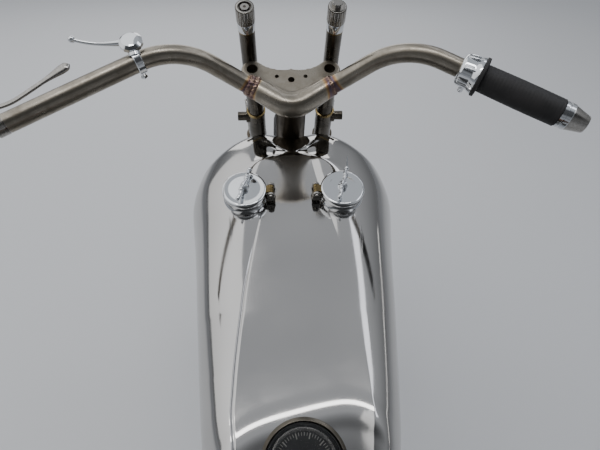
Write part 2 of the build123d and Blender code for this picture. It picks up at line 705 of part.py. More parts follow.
# Timing chest: the same outline on both sides of the crank, from y and z about it
chest_half = ((92, -52), (60, 66), (78, 92))
chest_deep = 34.0
chest_points = [(crank_y - y, crank_z + z) for y, z in chest_half]
chest_points += [(crank_y + y, crank_z + z) for y, z in reversed(chest_half)]
chest = extrude(Plane.YZ * make_face(Polyline(*chest_points, close=True)), chest_deep)
chest = Pos(-case_half - chest_deep, 0, 0) * chest
keep("timing_chest", chest)

# Push-rod tubes stand on the timing chest, two to each head
push_x = -case_half - 15
tubes = []
for side in (-1, 1):
    for across in (-13, 13):
        tube = leaning(side) * rod((push_x, across, 70), (push_x, across, head_top - 9), 7)
        tubes.append(largest(tube - chest))
keep("pushrod_tubes", joined(tubes))

intake_z = crank_z + 236
carburettor = disc_x(-104, -20, crank_y, intake_z, 19) + disc_x(-126, -104, crank_y, intake_z, 34)
carburettor += rod((-74, crank_y, intake_z - 58), (-74, crank_y, intake_z - 12), 20)
for side in (-1, 1):
    carburettor += rod((-26, crank_y, intake_z), (-12, crank_y + side * 62, intake_z + 4), 15)
bores = [leaning(side) * bore for side in (-1, 1)]
keep("carburettor", carburettor - bores[0] - bores[1])

# Gearbox: its bed plate lies across both lower rails, its sprocket on the right
small_radius = 36.0
small_tooth_count = 14
small_y = gearbox_y + 10
small_z = crank_z + 8
bed_z = rail_z + rail_radius
gearbox = block(-70, 70, gearbox_y - 78, gearbox_y + 70, bed_z, crank_z + 84)
gearbox = fillet(gearbox.edges().filter_by(Axis.X), 26)
gearbox += disc_x(-74, 0, small_y, small_z, 52) + disc_x(-92, 0, small_y, small_z, 22)
small_edge = sprocket_x - sprocket_thick / 2
small_plane = Plane(origin=(small_edge, small_y, small_z), x_dir=(0, 1, 0), z_dir=(1, 0, 0))
small_teeth = toothed(small_radius - chain_half - seat_gap, 5, small_tooth_count)
gearbox += small_plane * extrude(small_teeth, sprocket_thick)
gearbox += block(-rail_x, rail_x, gearbox_y - 60, gearbox_y + 40, bed_z - 6, bed_z + 6)
gearbox = gearbox - case - rails[1] - rails[-1]
keep("gearbox", gearbox)

primary_half = 92.0
primary_wide = 62.0
primary_plane = Plane(origin=(case_half, (crank_y + gearbox_y) / 2, crank_z), x_dir=(0, 1, 0), z_dir=(1, 0, 0))
primary = primary_plane * extrude(SlotCenterToCenter(gearbox_y - crank_y, 2 * primary_half), primary_wide)
primary += disc_x(case_half + primary_wide, case_half + primary_wide + 12, gearbox_y, crank_z, 66)
keep("primary_case", primary - gearbox - case)

kick = disc_x(-128, -92, small_y, small_z, 12)
kick += bent_rod([(-122, small_y, small_z), (-126, small_y + 56, small_z + 142),
                  (-200, small_y + 60, small_z + 148)], (24,), 8)
keep("kick_starter", kick)

# Drive chain: one fixed loop round the gearbox and wheel sprockets, each link waisted between its pins
chain_slack = 1.0            # the loop runs this far outside the wheel sprocket's pin circle
chain_pitch = 15.9
chain_width = 12.0
chain_waist = 4.0


def chain_place(travel, radius_a, radius_b):
    """Point and outward direction at a travel round two discs and their outer tangents."""
    run_y = rear_axle_y - small_y
    run_z = rear_axle_z - small_z
    apart = hypot(run_y, run_z)
    slope = atan2(run_z, run_y)
    spread = asin((radius_b - radius_a) / apart)
    straight = sqrt(apart ** 2 - (radius_b - radius_a) ** 2)
    up = slope + pi / 2 + spread
    down = slope - pi / 2 - spread
    lengths = (straight, radius_b * (pi + 2 * spread), straight, radius_a * (pi - 2 * spread))
    travel = travel % sum(lengths)
    if travel < lengths[0]:
        return (small_y + radius_a * cos(up) + travel * cos(slope + spread),
                small_z + radius_a * sin(up) + travel * sin(slope + spread), up)
    travel -= lengths[0]
    if travel < lengths[1]:
        angle = up - travel / radius_b
        return rear_axle_y + radius_b * cos(angle), rear_axle_z + radius_b * sin(angle), angle
    travel -= lengths[1]
    if travel < lengths[2]:
        back = travel - lengths[2]
        return (small_y + radius_a * cos(down) - back * cos(slope - spread),
                small_z + radius_a * sin(down) - back * sin(slope - spread), down)
    angle = down - (travel - lengths[2]) / radius_a
    return small_y + radius_a * cos(angle), small_z + radius_a * sin(angle), angle


def chain_length(radius_a, radius_b):
    """Length of the loop."""
    apart = hypot(rear_axle_y - small_y, rear_axle_z - small_z)
    spread = asin((radius_b - radius_a) / apart)
    straight = sqrt(apart ** 2 - (radius_b - radius_a) ** 2)
    return 2 * straight + radius_b * (pi + 2 * spread) + radius_a * (pi - 2 * spread)


def chain_outline(side):
    """The loop's outer or inner outline, wide at the pins and narrow between them."""
    radii = (small_radius, sprocket_radius + chain_slack)
    length = chain_length(*radii)
    link_count = round(length / chain_pitch)
    points = []
    for step in range(2 * link_count):
        y, z, out = chain_place(length * step / (2 * link_count), *radii)
        half = side * (chain_waist if step % 2 else chain_half)
        points.append((y + half * cos(out), z + half * sin(out)))
    return make_face(Polyline(*points, close=True))


chain = extrude(Plane.YZ * chain_outline(1), chain_width) - extrude(Plane.YZ * chain_outline(-1), chain_width)
keep("drive_chain", Pos(sprocket_x - chain_width / 2, 0, 0) * chain)

# Exhaust: both ports feed one pipe on the right, which ends in a long silencer
port_reach = barrel_foot + 150
port_y = port_reach * sin(vee_half)
port_z = crank_z + port_reach * cos(vee_half)
front_port = (0, crank_y - port_y - 50, port_z - 22)
rear_port = (-46, crank_y + port_y + 26, port_z - 40)
pipe_x = -180.0
pipe_z = crank_z - 56
pipe_radius = 20.0
silencer_radius = 38.0
bend_y = gearbox_y + 80
silencer_y = bend_y + 50
silencer_end = (pipe_x, rear_axle_y + 45, rear_axle_z - 76)
front_pipe = bent_rod([front_port, (-20, front_port[1] - 50, front_port[2] - 10),
                       (pipe_x, front_port[1] - 20, pipe_z), (pipe_x, bend_y, pipe_z)], (40, 80), pipe_radius)
front_pipe += rod((pipe_x, bend_y, pipe_z), (pipe_x, silencer_y, pipe_z), pipe_radius)
front_pipe += rod((pipe_x, silencer_y, pipe_z), silencer_end, silencer_radius)
front_pipe -= bores[0]
keep("front_exhaust", front_pipe)
rear_pipe = bent_rod([rear_port, (-90, rear_port[1] + 40, rear_port[2] - 14),
                      (pipe_x, rear_port[1] + 20, pipe_z)], (36,), pipe_radius)
keep("rear_exhaust", rear_pipe - front_pipe - bores[1])

# Oil tank: threaded on the seat post and leaning with it
oil_half = 92.0
oil_depth = 92.0
oil_tall = 172.0
oil_below = 168.0            # middle of the tank below the seat joint, along the post
post_run = Vector(*seat_foot) - Vector(*seat_joint)
post_plane = Plane(origin=seat_joint, x_dir=(1, 0, 0), z_dir=post_run)
oil = fillet(Box(2 * oil_half, oil_depth, oil_tall).edges().filter_by(Axis.Z), 24)
oil -= Cylinder(seat_post_radius, oil_tall + over)
keep("oil_tank", post_plane * Pos(0, 0, oil_below) * oil)

# Rear mudguard
guard_gap = 26.0             # over the rear tyre
guard_radius = rear_tyre_radius + guard_gap
guard_deep = 34.0            # from the crown to the edges
guard_half = 66.0
guard_wall = 3.0
guard_start = radians(22.0)
guard_arc = 158.0
guard_stay_radius = 5.0


def guard_profile():
    """Half-round mudguard section, radius by width."""
    edge = guard_radius - guard_deep
    inner = guard_half - guard_wall
    with BuildSketch() as section:
        with BuildLine():
            ThreePointArc((edge, -guard_half), (guard_radius, 0), (edge, guard_half))
            Line((edge, guard_half), (edge, inner))
            ThreePointArc((edge, inner), (guard_radius - guard_wall, 0), (edge, -inner))
            Line((edge, -inner), (edge, -guard_half))
        make_face()
    return section.sketch


def on_stay(reach, above):
    """Place over the straight part of a seat stay, at a reach from the rear axle."""
    low_y = rear_axle_y - 52
    low_z = rear_axle_z + 34
    run = Vector(0, stay_bend_y - low_y, stay_bend_z - low_z).normalized()
    start = Vector(0, -52 + above * run.Z, 34 - above * run.Y)
    along = -start.dot(run) + sqrt(start.dot(run) ** 2 - start.dot(start) + reach ** 2)
    place = start + run * along
    return rear_axle_y + place.Y, rear_axle_z + place.Z


guard_lean = (0, cos(guard_start), sin(guard_start))
guard_plane = Plane(origin=(0, rear_axle_y, rear_axle_z), x_dir=guard_lean, z_dir=(1, 0, 0))
guard = guard_plane * revolve(Plane.XZ * guard_profile(), axis=Axis.Z, revolution_arc=guard_arc)
tie_y, tie_z = on_stay(guard_radius - 26, 13.8)
tie_gap = guard_half - 4
guard += disc_x(-stay_x - 8, stay_x + 8, tie_y, tie_z, 7) - disc_x(-tie_gap, tie_gap, tie_y, tie_z, 8)
for side in (-1, 1):
    reach = (guard_radius - 32) / sqrt(2)
    seat = (guard_radius - 21) / sqrt(2)
    guard += bent_rod([(side * (axle_plate_x + 3), rear_axle_y - 18, rear_axle_z + 40),
                       (side * (guard_half + 12), rear_axle_y + reach, rear_axle_z + reach),
                       (side * (guard_half - 6), rear_axle_y + seat, rear_axle_z + seat)],
                      (8,), guard_stay_radius)
keep("rear_mudguard", guard - stays[1] - stays[-1] - rails[1] - rails[-1])

rear_axle = disc_x(-axle_plate_x - 22, axle_plate_x + 22, rear_axle_y, rear_axle_z, axle_radius)
for side in (-1, 1):
    nut = axle_plate_x + axle_plate_thick
    rear_axle += disc_x(side * nut, side * (nut + 12), rear_axle_y, rear_axle_z, 16)
    rear_axle += disc_x(side * (rear_hub_half + 44), side * axle_plate_x, rear_axle_y, rear_axle_z, 14)
keep("rear_axle", rear_axle)

# Saddle: behind the tank's end, half width, top and bottom over the saddle's lowest point
saddle_low = seat_joint[2] + 15
saddle_rows = ((9, 30, 34, 14), (57, 48, 34, 8), (137, 104, 30, 0), (217, 142, 36, 0), (287, 136, 50, 10),
               (322, 96, 56, 28))


def saddle_section(behind, half, top, bottom):
    """Crowned outline across the saddle."""
    across = Plane(origin=(0, tank_back + behind, saddle_low), x_dir=(1, 0, 0), z_dir=(0, -1, 0))
    with BuildSketch(across) as outline:
        with BuildLine():
            Line((-half, bottom), (half, bottom))
            ThreePointArc((half, bottom), (0, top), (-half, bottom))
        make_face()
    return outline.sketch


saddle = loft([saddle_section(*row) for row in saddle_rows])
keep("saddle", saddle)

# Saddle springs: a ribbed outline for each coil, and the nose bracket on the backbone
spring_low = stay_bend_z + 4
spring_y = stay_bend_y + 6
spring_x = stay_x - 8
coil_pitch = 9.0
coils = []
for side in (-1, 1):
    points = [(0, spring_low)]
    turns = int((saddle_low - seat_gap - spring_low) / coil_pitch)
    for number in range(turns):
        low = spring_low + number * coil_pitch
        points += [(16, low), (20, low + coil_pitch / 2)]
    points += [(16, saddle_low - seat_gap), (0, saddle_low - seat_gap)]
    coil = revolve(Plane.XZ * make_face(Polyline(*points, close=True)), axis=Axis.Z)
    coil = Pos(side * spring_x, spring_y, 0) * coil
    coils.append(coil)
nose_y = seat_joint[1] - 12
coils.append(block(-12, 12, nose_y, nose_y + 30, seat_joint[2] + 6, seat_joint[2] + 23) - backbone)
keep("saddle_springs", joined([coil - stays[1] - stays[-1] - saddle for coil in coils]))

# Footrests
rest_y = crank_y + 133
rest_z = rail_z + rail_radius + 9
rests = disc_x(-212, 212, rest_y, rest_z, 9)
for side in (-1, 1):
    rests += block(side * rail_x - 12, side * rail_x + 12, rest_y - 14, rest_y + 14, rail_z + 6, rest_z + 6)
rests = rests - rails[1] - rails[-1]
keep("footrest_bar", rests)
rubbers = Compound([disc_x(side * 212, side * 312, rest_y, rest_z, 17) for side in (-1, 1)])
keep("footrest_rubbers", rubbers)

# Centre stand, down: cross tube, two splayed legs and feet on the floor
stand = disc_x(-86, 86, stand_y, stand_z, 12) + disc_x(-110, 110, stand_y, stand_z, stand_pin_radius)
for side in (-1, 1):
    stand += rod((side * 72, stand_y, stand_z - 6), (side * 150, stand_y - 30, 11), 11)
    stand += block(side * 150 - 20, side * 150 + 20, stand_y - 58, stand_y - 8, 0, 10)
keep("centre_stand", stand)

print(len(written), "pieces:", ", ".join(written))
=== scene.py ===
import json
from math import cos, radians, sin

import bmesh
import bpy
import numpy as np
from mathutils import Matrix, Vector
from mathutils.bvhtree import BVHTree


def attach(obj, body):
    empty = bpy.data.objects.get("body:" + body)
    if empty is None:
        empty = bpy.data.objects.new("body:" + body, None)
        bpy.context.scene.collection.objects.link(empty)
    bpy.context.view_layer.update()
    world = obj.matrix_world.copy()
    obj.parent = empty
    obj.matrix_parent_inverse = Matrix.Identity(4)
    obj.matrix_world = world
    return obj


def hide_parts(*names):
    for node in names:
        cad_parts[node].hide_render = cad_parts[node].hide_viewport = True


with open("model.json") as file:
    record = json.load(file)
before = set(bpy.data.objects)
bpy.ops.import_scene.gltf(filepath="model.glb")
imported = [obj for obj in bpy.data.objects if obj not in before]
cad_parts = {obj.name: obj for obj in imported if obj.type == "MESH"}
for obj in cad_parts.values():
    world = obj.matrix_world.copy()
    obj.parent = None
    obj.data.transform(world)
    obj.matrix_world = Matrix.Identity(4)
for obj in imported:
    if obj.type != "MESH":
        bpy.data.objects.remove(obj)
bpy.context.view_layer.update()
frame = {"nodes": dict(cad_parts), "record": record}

bl_info = {
    "name": "Rigid-frame motorcycle",
    "version": (1, 0, 0),
    "blender": (4, 5, 0),
    "location": "View3D > Sidebar > Motorcycle",
    "description": "Dresses the motorcycle's frame with its skins, trim and finishes",
    "category": "Object",
}

MM = 0.001
NODES = frame["nodes"]

# Steering frame, as the fork's own plate has it
RAKE = radians(26.0)
PLATE = np.array([0.0, -323.7258, 1000.0]) * MM

# Tank: distances behind its front, then heights and half widths, in millimetres
TANK_FRONT = -356.7258
TANK_ROWS = np.array([
    (0, 878, 15, 118, 800, 706, 86),
    (22, 895, 20, 154, 806, 686, 104),
    (80, 887, 28, 166, 806, 672, 112),
    (190, 870, 53, 147, 795, 668, 102),
    (300, 853, 69, 131, 778, 670, 92),
    (400, 837, 75, 116, 762, 676, 82),
    (455, 827, 76, 108, 752, 682, 76),
    (530, 793, 68, 97, 735, 688, 70),
    (600, 752, 48, 78, 716, 694, 58),
], float)

# Line of the backbone tube and the tunnel over it, in millimetres: a point, its fall per millimetre,
# then the tunnel's roof above the line and its half width
BACKBONE_Y, BACKBONE_Z, BACKBONE_FALL = -385.98, 872.37, 0.23514
TUNNEL_RISE, TUNNEL_HALF = 20.85, 27.0

# Fork's plate, out and ahead in millimetres: its legs and its spring posts
LEG_AT = (57.0, 20.0)
POST_AT = (62.0, 49.0)
STEM_HOLES = ((0, 0, 4.8), (21, 6, 3.1), (-21, 6, 3.1))
LEG_HOLE = 8.2

# Handlebar: out, ahead of the steering axis, up, in millimetres; its bends' radii
BAR_POINTS = np.array([(352.0, -113.398, 66.321), (153.0, 6.4, 70.5), (60.0, -10.0, 4.0), (0.0, -34.0, -2.0)])
BAR_BENDS = (110.0, 60.0, 34.0, 60.0, 110.0)
BAR_RADIUS = 12.7

# Where the bar's arms are welded to the thicker vee: distance out, and for each side the beads'
# distance outward from there with their half width
WELD_OUT = 58.0
WELD_ROWS = {1: ((-6.0, 4.2), (2.0, 4.6)), -1: ((0.5, 3.2),)}

# Distance down the steering axis to the front axle's level, the axle lying 96 mm ahead of it
AXLE_DROP = (1000.0 - 345.0 + 96.0 * sin(RAKE)) / cos(RAKE)

# Filler caps: place and lean of the left one, and how far in its hinge line lies
CAP = np.array([70.0, TANK_FRONT + 147.0, 872.645])
CAP_LEAN = radians(14.0)
HINGE_IN = 37.5

# Nose pressing: half width at the front corners, distance behind the front where the ridges cross,
# height of the crest, where its rear slope ends, and how far the ridge runs askew
NOSE_HALF = 48.0
NOSE_CROSS = 70.0
NOSE_CREST = 15.0
NOSE_FLARE = 152.0
RIDGE_SKEW = 0.26

DIAL_TILT = radians(26.0)
DIAL_AXIS = np.array([0.0, sin(DIAL_TILT), cos(DIAL_TILT)])
DIAL = np.array([0.0, TANK_FRONT + 499.0, 827 + (793 - 827) * 44 / 75 + 2]) * MM
DIAL_ZERO = radians(225.0)

# Wheels: middle, tyre radius and width, rim radius, in millimetres; then the tread's pattern, once
# round, and the valve's angle from straight down
WHEELS = {
    "front": ((0.0, -750.0, 345.0), 345.0, 72.0, 268.0),
    "rear": ((0.0, 755.0, 358.0), 340.0, 106.0, 244.0),
}
FRONT_AXLE, REAR_AXLE = (np.array(WHEELS[name][0]) for name in ("front", "rear"))
TREAD_PITCHES = 72
VALVE_TURN = 0.4

# Saddle: middle of its plan in metres, directions looked in for its edge, size of the deflated pad,
# pressure and length of the simulation, rivets' places from above
SADDLE_MIDDLE = np.array([0.0, 0.43])
EDGE_SECTORS = 144
DEFLATED = (1.03, 1.01, 0.86)
PRESSURE, SWELL_FRAMES = 4.0, 20
RIVETS = ((13, 268), (0, 262), (0, 548), (45, 544), (86, 530), (118, 500))

# Engine: middle of the crankshaft, the gearbox's place, half the angle between the cylinders
CRANK = np.array([0.0, 15.0, 318.0])
GEAR_Y = 250.0
VEE = radians(25.0)

# Frame: where the backbone meets the seat post, the post's foot, the down tube's foot, and on
# each side the axle plate with the ends of the rail and the stay that meet it (y, z)
SEAT_JOINT = np.array([0.0, 266.27, 719.01])
POST_FOOT = np.array([0.0, 392.0, 175.0])
DOWN_FOOT = np.array([0.0, -252.0, 262.0])
PLATE_OUT = 118.0
RAIL_START, STAY_START = (420.0, 175.0), (440.27, 668.0)

# Rear mudguard's edges and crown bead: out, radius from the axle, thickness; then their ends in degrees
GUARD_EDGES = ((66.0, 332.0, 3.6), (-66.0, 332.0, 3.6), (0.0, 365.5, 2.4))
GUARD_SPAN = (22.5, 179.5)

# Oil tank in the seat post's lean: how far down the post its middle lies, where its corners' arcs
# are centred, their radius, and how far the straps and the filler lie from its middle
OIL_DOWN = 168.0
OIL_CORNER, OIL_ROUND = (68.0, 22.0), 24.7
STRAP_OFF = 52.0
OIL_FILLER = (86.0, 52.0)

# Coil springs: on the fork's posts (radius, wire, turns, foot, length) and under the saddle (out,
# radius, wire, turns); then the fork's rocker pivots (out, ahead, up from the axle's level)
POST_SPRING = (12.9, 1.9, 12, -203.0, 100.0)
SEAT_SPRING = (100.0, 16.4, 3.3, 5.5)
ROCKER_PIVOTS = ((70.5, 20.0, 48.0), (66.0, 60.0, 24.0))

# Silencer's ends, the footrests' and the kick pedal's inner ends
SILENCER = np.array([(-180.0, 380.0, 262.0), (-180.0, 800.0, 282.0)])
REST_START = np.array([212.0, 148.0, 198.0])
PEDAL_START = np.array([-142.0, 320.0, 474.0])


# Shapes

def at_fork(x, ahead, up):
    """Places in metres, from millimetres out, ahead of the steering axis and up it."""
    x, ahead, up = np.broadcast_arrays(x, ahead, up)
    y = -ahead * cos(RAKE) + up * sin(RAKE)
    z = ahead * sin(RAKE) + up * cos(RAKE)
    return PLATE + np.stack([x, y, z], -1) * MM


def in_fork(rows):
    """Rows of (out, ahead, up) millimetres in the steering frame, in metres."""
    return at_fork(*np.moveaxis(np.asarray(rows, float), -1, 0))


def cells(rows, columns, wrap_rows=False, wrap_columns=False):
    """Corner numbers of a grid's cells, row by row, joined round where it wraps."""
    row = np.arange(rows if wrap_rows else rows - 1)[:, None]
    column = np.arange(columns if wrap_columns else columns - 1)[None, :]
    next_row, next_column = (row + 1) % rows, (column + 1) % columns
    corners = np.stack([row * columns + column, row * columns + next_column,
                        next_row * columns + next_column, next_row * columns + column], -1)
    return corners.reshape(-1, 4)


def skin(grid, wrap_rows=False, wrap_columns=False):
    """Points and faces of a grid of points."""
    rows, columns = grid.shape[:2]
    return grid.reshape(-1, 3), cells(rows, columns, wrap_rows, wrap_columns)


def framed(axis, up=(0, 0, 1)):
    """Two directions square to an axis, the second nearest to up."""
    axis = np.asarray(axis, float) / np.linalg.norm(axis)
    across = np.cross(np.asarray(up, float), axis)
    if np.linalg.norm(across) < 1e-6:
        across = np.cross((1.0, 0.0, 0.0), axis)
    across /= np.linalg.norm(across)
    return axis, across, np.cross(axis, across)


def circuit(count):
    """Evenly spaced angles once round."""
    return np.linspace(0, 2 * np.pi, count, endpoint=False)


def rays(turn, across, above):
    """Directions at angles between two directions."""
    return np.cos(turn)[:, None] * across + np.sin(turn)[:, None] * above


def travelled(path):
    """Distance travelled along a path at each of its points."""
    return np.concatenate([[0], np.cumsum(np.linalg.norm(np.diff(path, axis=0), axis=1))])


def sampled(path, places):
    """Points of a path at distances travelled along it."""
    travel = travelled(path)
    return np.stack([np.interp(places, travel, column) for column in np.asarray(path).T], -1)


def in_metres(rows):
    """Rows of millimetres in metres."""
    return rows * MM


def turned(profile, origin, axis, sides=64, up=(0, 0, 1), loop=False):
    """A profile of (along, radius) in millimetres, turned about an axis through origin; a loop
    comes back to its first point."""
    axis, across, above = framed(axis, up)
    profile = np.asarray(profile, float) * MM
    ring = rays(circuit(sides), across, above)
    grid = np.asarray(origin) + profile[:, None, :1] * axis + profile[:, None, 1:] * ring[None]
    return skin(grid, wrap_rows=loop, wrap_columns=True)


def carried(section, path, up=(0, 0, 1), scale=None, closed=False):
    """A closed section of (across, above) in millimetres, carried along a path in metres."""
    path = np.asarray(path, float)
    tangent = np.roll(path, -1, 0) - np.roll(path, 1, 0) if closed else np.gradient(path, axis=0)
    tangent /= np.linalg.norm(tangent, axis=1)[:, None]
    across = np.cross(np.asarray(up, float), tangent)
    across /= np.linalg.norm(across, axis=1)[:, None]
    above = np.cross(tangent, across)
    section = np.asarray(section, float) * MM
    size = np.ones(len(path)) if scale is None else np.asarray(scale, float)
    grid = path[:, None] + size[:, None, None] * (
        section[None, :, :1] * across[:, None] + section[None, :, 1:] * above[:, None])
    points, faces = skin(grid, wrap_rows=closed, wrap_columns=True)
    faces = faces.tolist()
    if not closed:
        count = len(section)
        faces += [list(range(count)), list(range(len(points) - count, len(points)))[::-1]]
    return points, faces


def unit(vector):
    """A vector at length one."""
    vector = np.asarray(vector, float)
    return vector / np.linalg.norm(vector)


def rounded_path(points, radii, step=2.0):
    """Evenly spaced points along straight runs joined by arcs, all in one unit."""
    points = np.asarray(points, float)
    parts = [points[:1]]
    for before, corner, after, radius in zip(points[:-2], points[1:-1], points[2:], radii):
        back, on = unit(before - corner), unit(after - corner)
        half = np.arccos(np.clip(back @ on, -1, 1)) / 2
        centre = corner + unit(back + on) * radius / np.sin(half)
        start, end = corner + back * radius / np.tan(half), corner + on * radius / np.tan(half)
        out = (start - centre) / radius
        across = (end - centre) / radius
        across = unit(across - (across @ out) * out)
        angle = np.linspace(0, np.pi - 2 * half, 24)[:, None]
        parts.append(centre + radius * (np.cos(angle) * out + np.sin(angle) * across))
    path = np.concatenate(parts + [points[-1:]])
    length = travelled(path)[-1]
    return sampled(path, np.linspace(0, length, max(int(length / step), 8)))


def tube(path, radius, sides=32, up=(0, 0, 1)):
    """Round tube along a path in metres, its radius in millimetres, one for all points or one each."""
    radius = np.broadcast_to(np.asarray(radius, float), len(path))
    return carried(circle(1.0, sides), path, up, scale=radius)


def ball(centre, radius, sides=20):
    """Ball about a point in metres, its radius in millimetres."""
    rise = np.linspace(-0.5 * np.pi, 0.5 * np.pi, sides // 2 + 1)
    profile = np.stack([radius * np.sin(rise), radius * np.abs(np.cos(rise))], -1)
    return turned(profile, centre, (0, 0, 1), sides)


def slab(outline, low, high, place, edge=0.8):
    """Flat plate from an outline of (x, y) millimetres, between two levels, with broken edges.
    place turns rows of (x, y, level) into metres."""
    outline = np.asarray(outline, float)
    inward = outline.mean(0) - outline
    inset = outline + edge * inward / np.linalg.norm(inward, axis=1)[:, None]
    rows = [(inset, low), (outline, low + edge), (outline, high - edge), (inset, high)]
    grid = np.stack([place(np.column_stack([ring, np.full(len(ring), level)])) for ring, level in rows])
    points, faces = skin(grid, wrap_columns=True)
    count = len(outline)
    faces = faces.tolist() + [list(range(count))[::-1], list(range(len(points) - count, len(points)))]
    return points, faces


def circle(radius, sides=24):
    """Points round a circle, in the radius's own unit."""
    angle = circuit(sides)
    return np.stack([np.cos(angle), np.sin(angle)], -1) * radius


def gather(*shells):
    """Several shells as one list of points and faces."""
    points, faces, start = [], [], 0
    for shell_points, shell_faces in shells:
        points.append(np.asarray(shell_points))
        shell_faces = np.asarray(shell_faces, dtype=object).tolist()
        faces += [[corner + start for corner in face] for face in shell_faces]
        start += len(shell_points)
    return np.concatenate(points), faces


def solid(name, shell, sharp=35.0, turn_out=True):
    """A new object from points and faces, its faces turned outwards and smooth up to an angle."""
    points, faces = shell
    mesh = bpy.data.meshes.new(name)
    mesh.from_pydata(np.asarray(points).tolist(), [], [list(map(int, face)) for face in faces])
    work = bmesh.new()
    work.from_mesh(mesh)
    bmesh.ops.remove_doubles(work, verts=work.verts, dist=1e-6)
    if turn_out:
        bmesh.ops.recalc_face_normals(work, faces=work.faces)
    work.to_mesh(mesh)
    work.free()
    mesh.polygons.foreach_set("use_smooth", [True] * len(mesh.polygons))
    mesh.set_sharp_from_angle(angle=radians(sharp))
    new = bpy.data.objects.new(name, mesh)
    bpy.context.scene.collection.objects.link(new)
    return new


def piece(name, shell, finish, body, stands_for=(), sharp=35.0, turn_out=True):
    """A new piece with a finish by name, riding on a body."""
    new = solid(name, shell, sharp, turn_out)
    new.data.materials.append(FINISHES[finish])
    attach(new, body)
    if stands_for:
        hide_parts(*stands_for)
    return new


def shaped(thing, kind, **settings):
    """A modifier made part of a piece's own mesh."""
    modifier = thing.modifiers.new(kind.lower(), kind)
    for name, value in settings.items():
        setattr(modifier, name, value)
    thing.data = bpy.data.meshes.new_from_object(thing.evaluated_get(bpy.context.evaluated_depsgraph_get()))
    thing.modifiers.clear()


def weighted(thing, share):
    """A vertex group from one share per vertex."""
    group = thing.vertex_groups.new(name="share")
    for number in np.flatnonzero(share > 0.01):
        group.add([int(number)], float(share[number]), "REPLACE")
    return group.name


def vertices(thing):
    """Vertex places as one array."""
    places = np.empty(len(thing.data.vertices) * 3)
    thing.data.vertices.foreach_get("co", places)
    return places.reshape(-1, 3)


# Finishes

def linear(code):
    """Linear colour from an sRGB hex value."""
    parts = [int(code[i:i + 2], 16) / 255 for i in (0, 2, 4)]
    return tuple(c / 12.92 if c <= 0.04045 else ((c + 0.055) / 1.055) ** 2.4 for c in parts) + (1.0,)


def add(tree, kind, settings=None, links=None):
    """A node of a kind, with its settings by name and its inputs linked by name or number."""
    new = tree.nodes.new(kind)
    for name, value in (settings or {}).items():
        if isinstance(name, str) and hasattr(new, name):
            setattr(new, name, value)
        else:
            new.inputs[name].default_value = value
    for name, socket in (links or {}).items():
        tree.links.new(socket, new.inputs[name])
    return new


def started(name, colour, metallic, roughness, **sockets):
    """A named finish with its shader's constants set, and the object's coordinates."""
    finish = bpy.data.materials.new(name)
    finish.use_nodes = True
    tree = finish.node_tree
    shader = tree.nodes["Principled BSDF"]
    shader.inputs["Base Color"].default_value = linear(colour)
    shader.inputs["Metallic"].default_value = metallic
    shader.inputs["Roughness"].default_value = roughness
    for socket, value in sockets.items():
        shader.inputs[socket.replace("_", " ")].default_value = value
    finish.diffuse_color = linear(colour)
    place = add(tree, "ShaderNodeTexCoord").outputs["Object"]
    return finish, tree, shader, place


def spread(tree, value, low, high):
    """A 0 to 1 value spread between two numbers."""
    return add(tree, "ShaderNodeMapRange", {"From Min": 0.3, "From Max": 0.7, "To Min": low, "To Max": high},
               {"Value": value}).outputs["Result"]


def mixed(tree, share, first, second):
    """Two colours mixed by a share, each a hex value, a linear colour or a socket."""
    new = add(tree, "ShaderNodeMix", {"data_type": "RGBA"}, {0: share})
    for number, colour in ((6, first), (7, second)):
        if isinstance(colour, bpy.types.NodeSocket):
            tree.links.new(colour, new.inputs[number])
        else:
            new.inputs[number].default_value = linear(colour) if isinstance(colour, str) else colour
    return new.outputs[2]


def grained(tree, shader, height, strength, distance):
    """Bump from a height, on the shader's normal."""
    bump = add(tree, "ShaderNodeBump", {"Strength": strength, "Distance": distance}, {"Height": height})
    tree.links.new(bump.outputs["Normal"], shader.inputs["Normal"])


def cloudy(tree, place, scale, detail, harshness=0.5):
    """Noise over the object's coordinates, 0 to 1."""
    return add(tree, "ShaderNodeTexNoise", {"Scale": scale, "Detail": detail, "Roughness": harshness},
               {"Vector": place}).outputs["Fac"]


def vary(tree, shader, tone=None, gloss=None):
    """Colour and roughness that follow a noise: it and two colours, it and two roughnesses."""
    if tone:
        noise, first, second = tone
        shade = mixed(tree, spread(tree, noise, 0.0, 1.0), first, second)
        tree.links.new(shade, shader.inputs["Base Color"])
    if gloss:
        tree.links.new(spread(tree, *gloss), shader.inputs["Roughness"])


def mottled(name, colour, metallic, roughness, tone=None, gloss=None, grain=None, **sockets):
    """A finish that noise varies. Tone, gloss and grain each start with the noise that drives them,
    as its scale, detail and roughness; then come two colours, two roughnesses, or the grain's
    strength and depth in metres."""
    finish, tree, shader, place = started(name, colour, metallic, roughness, **sockets)
    made = {row[0]: cloudy(tree, place, *row[0]) for row in (tone, gloss, grain) if row}
    vary(tree, shader, tone and (made[tone[0]], *tone[1:]), gloss and (made[gloss[0]], *gloss[1:]))
    if grain:
        grained(tree, shader, made[grain[0]], *grain[1:])
    return finish


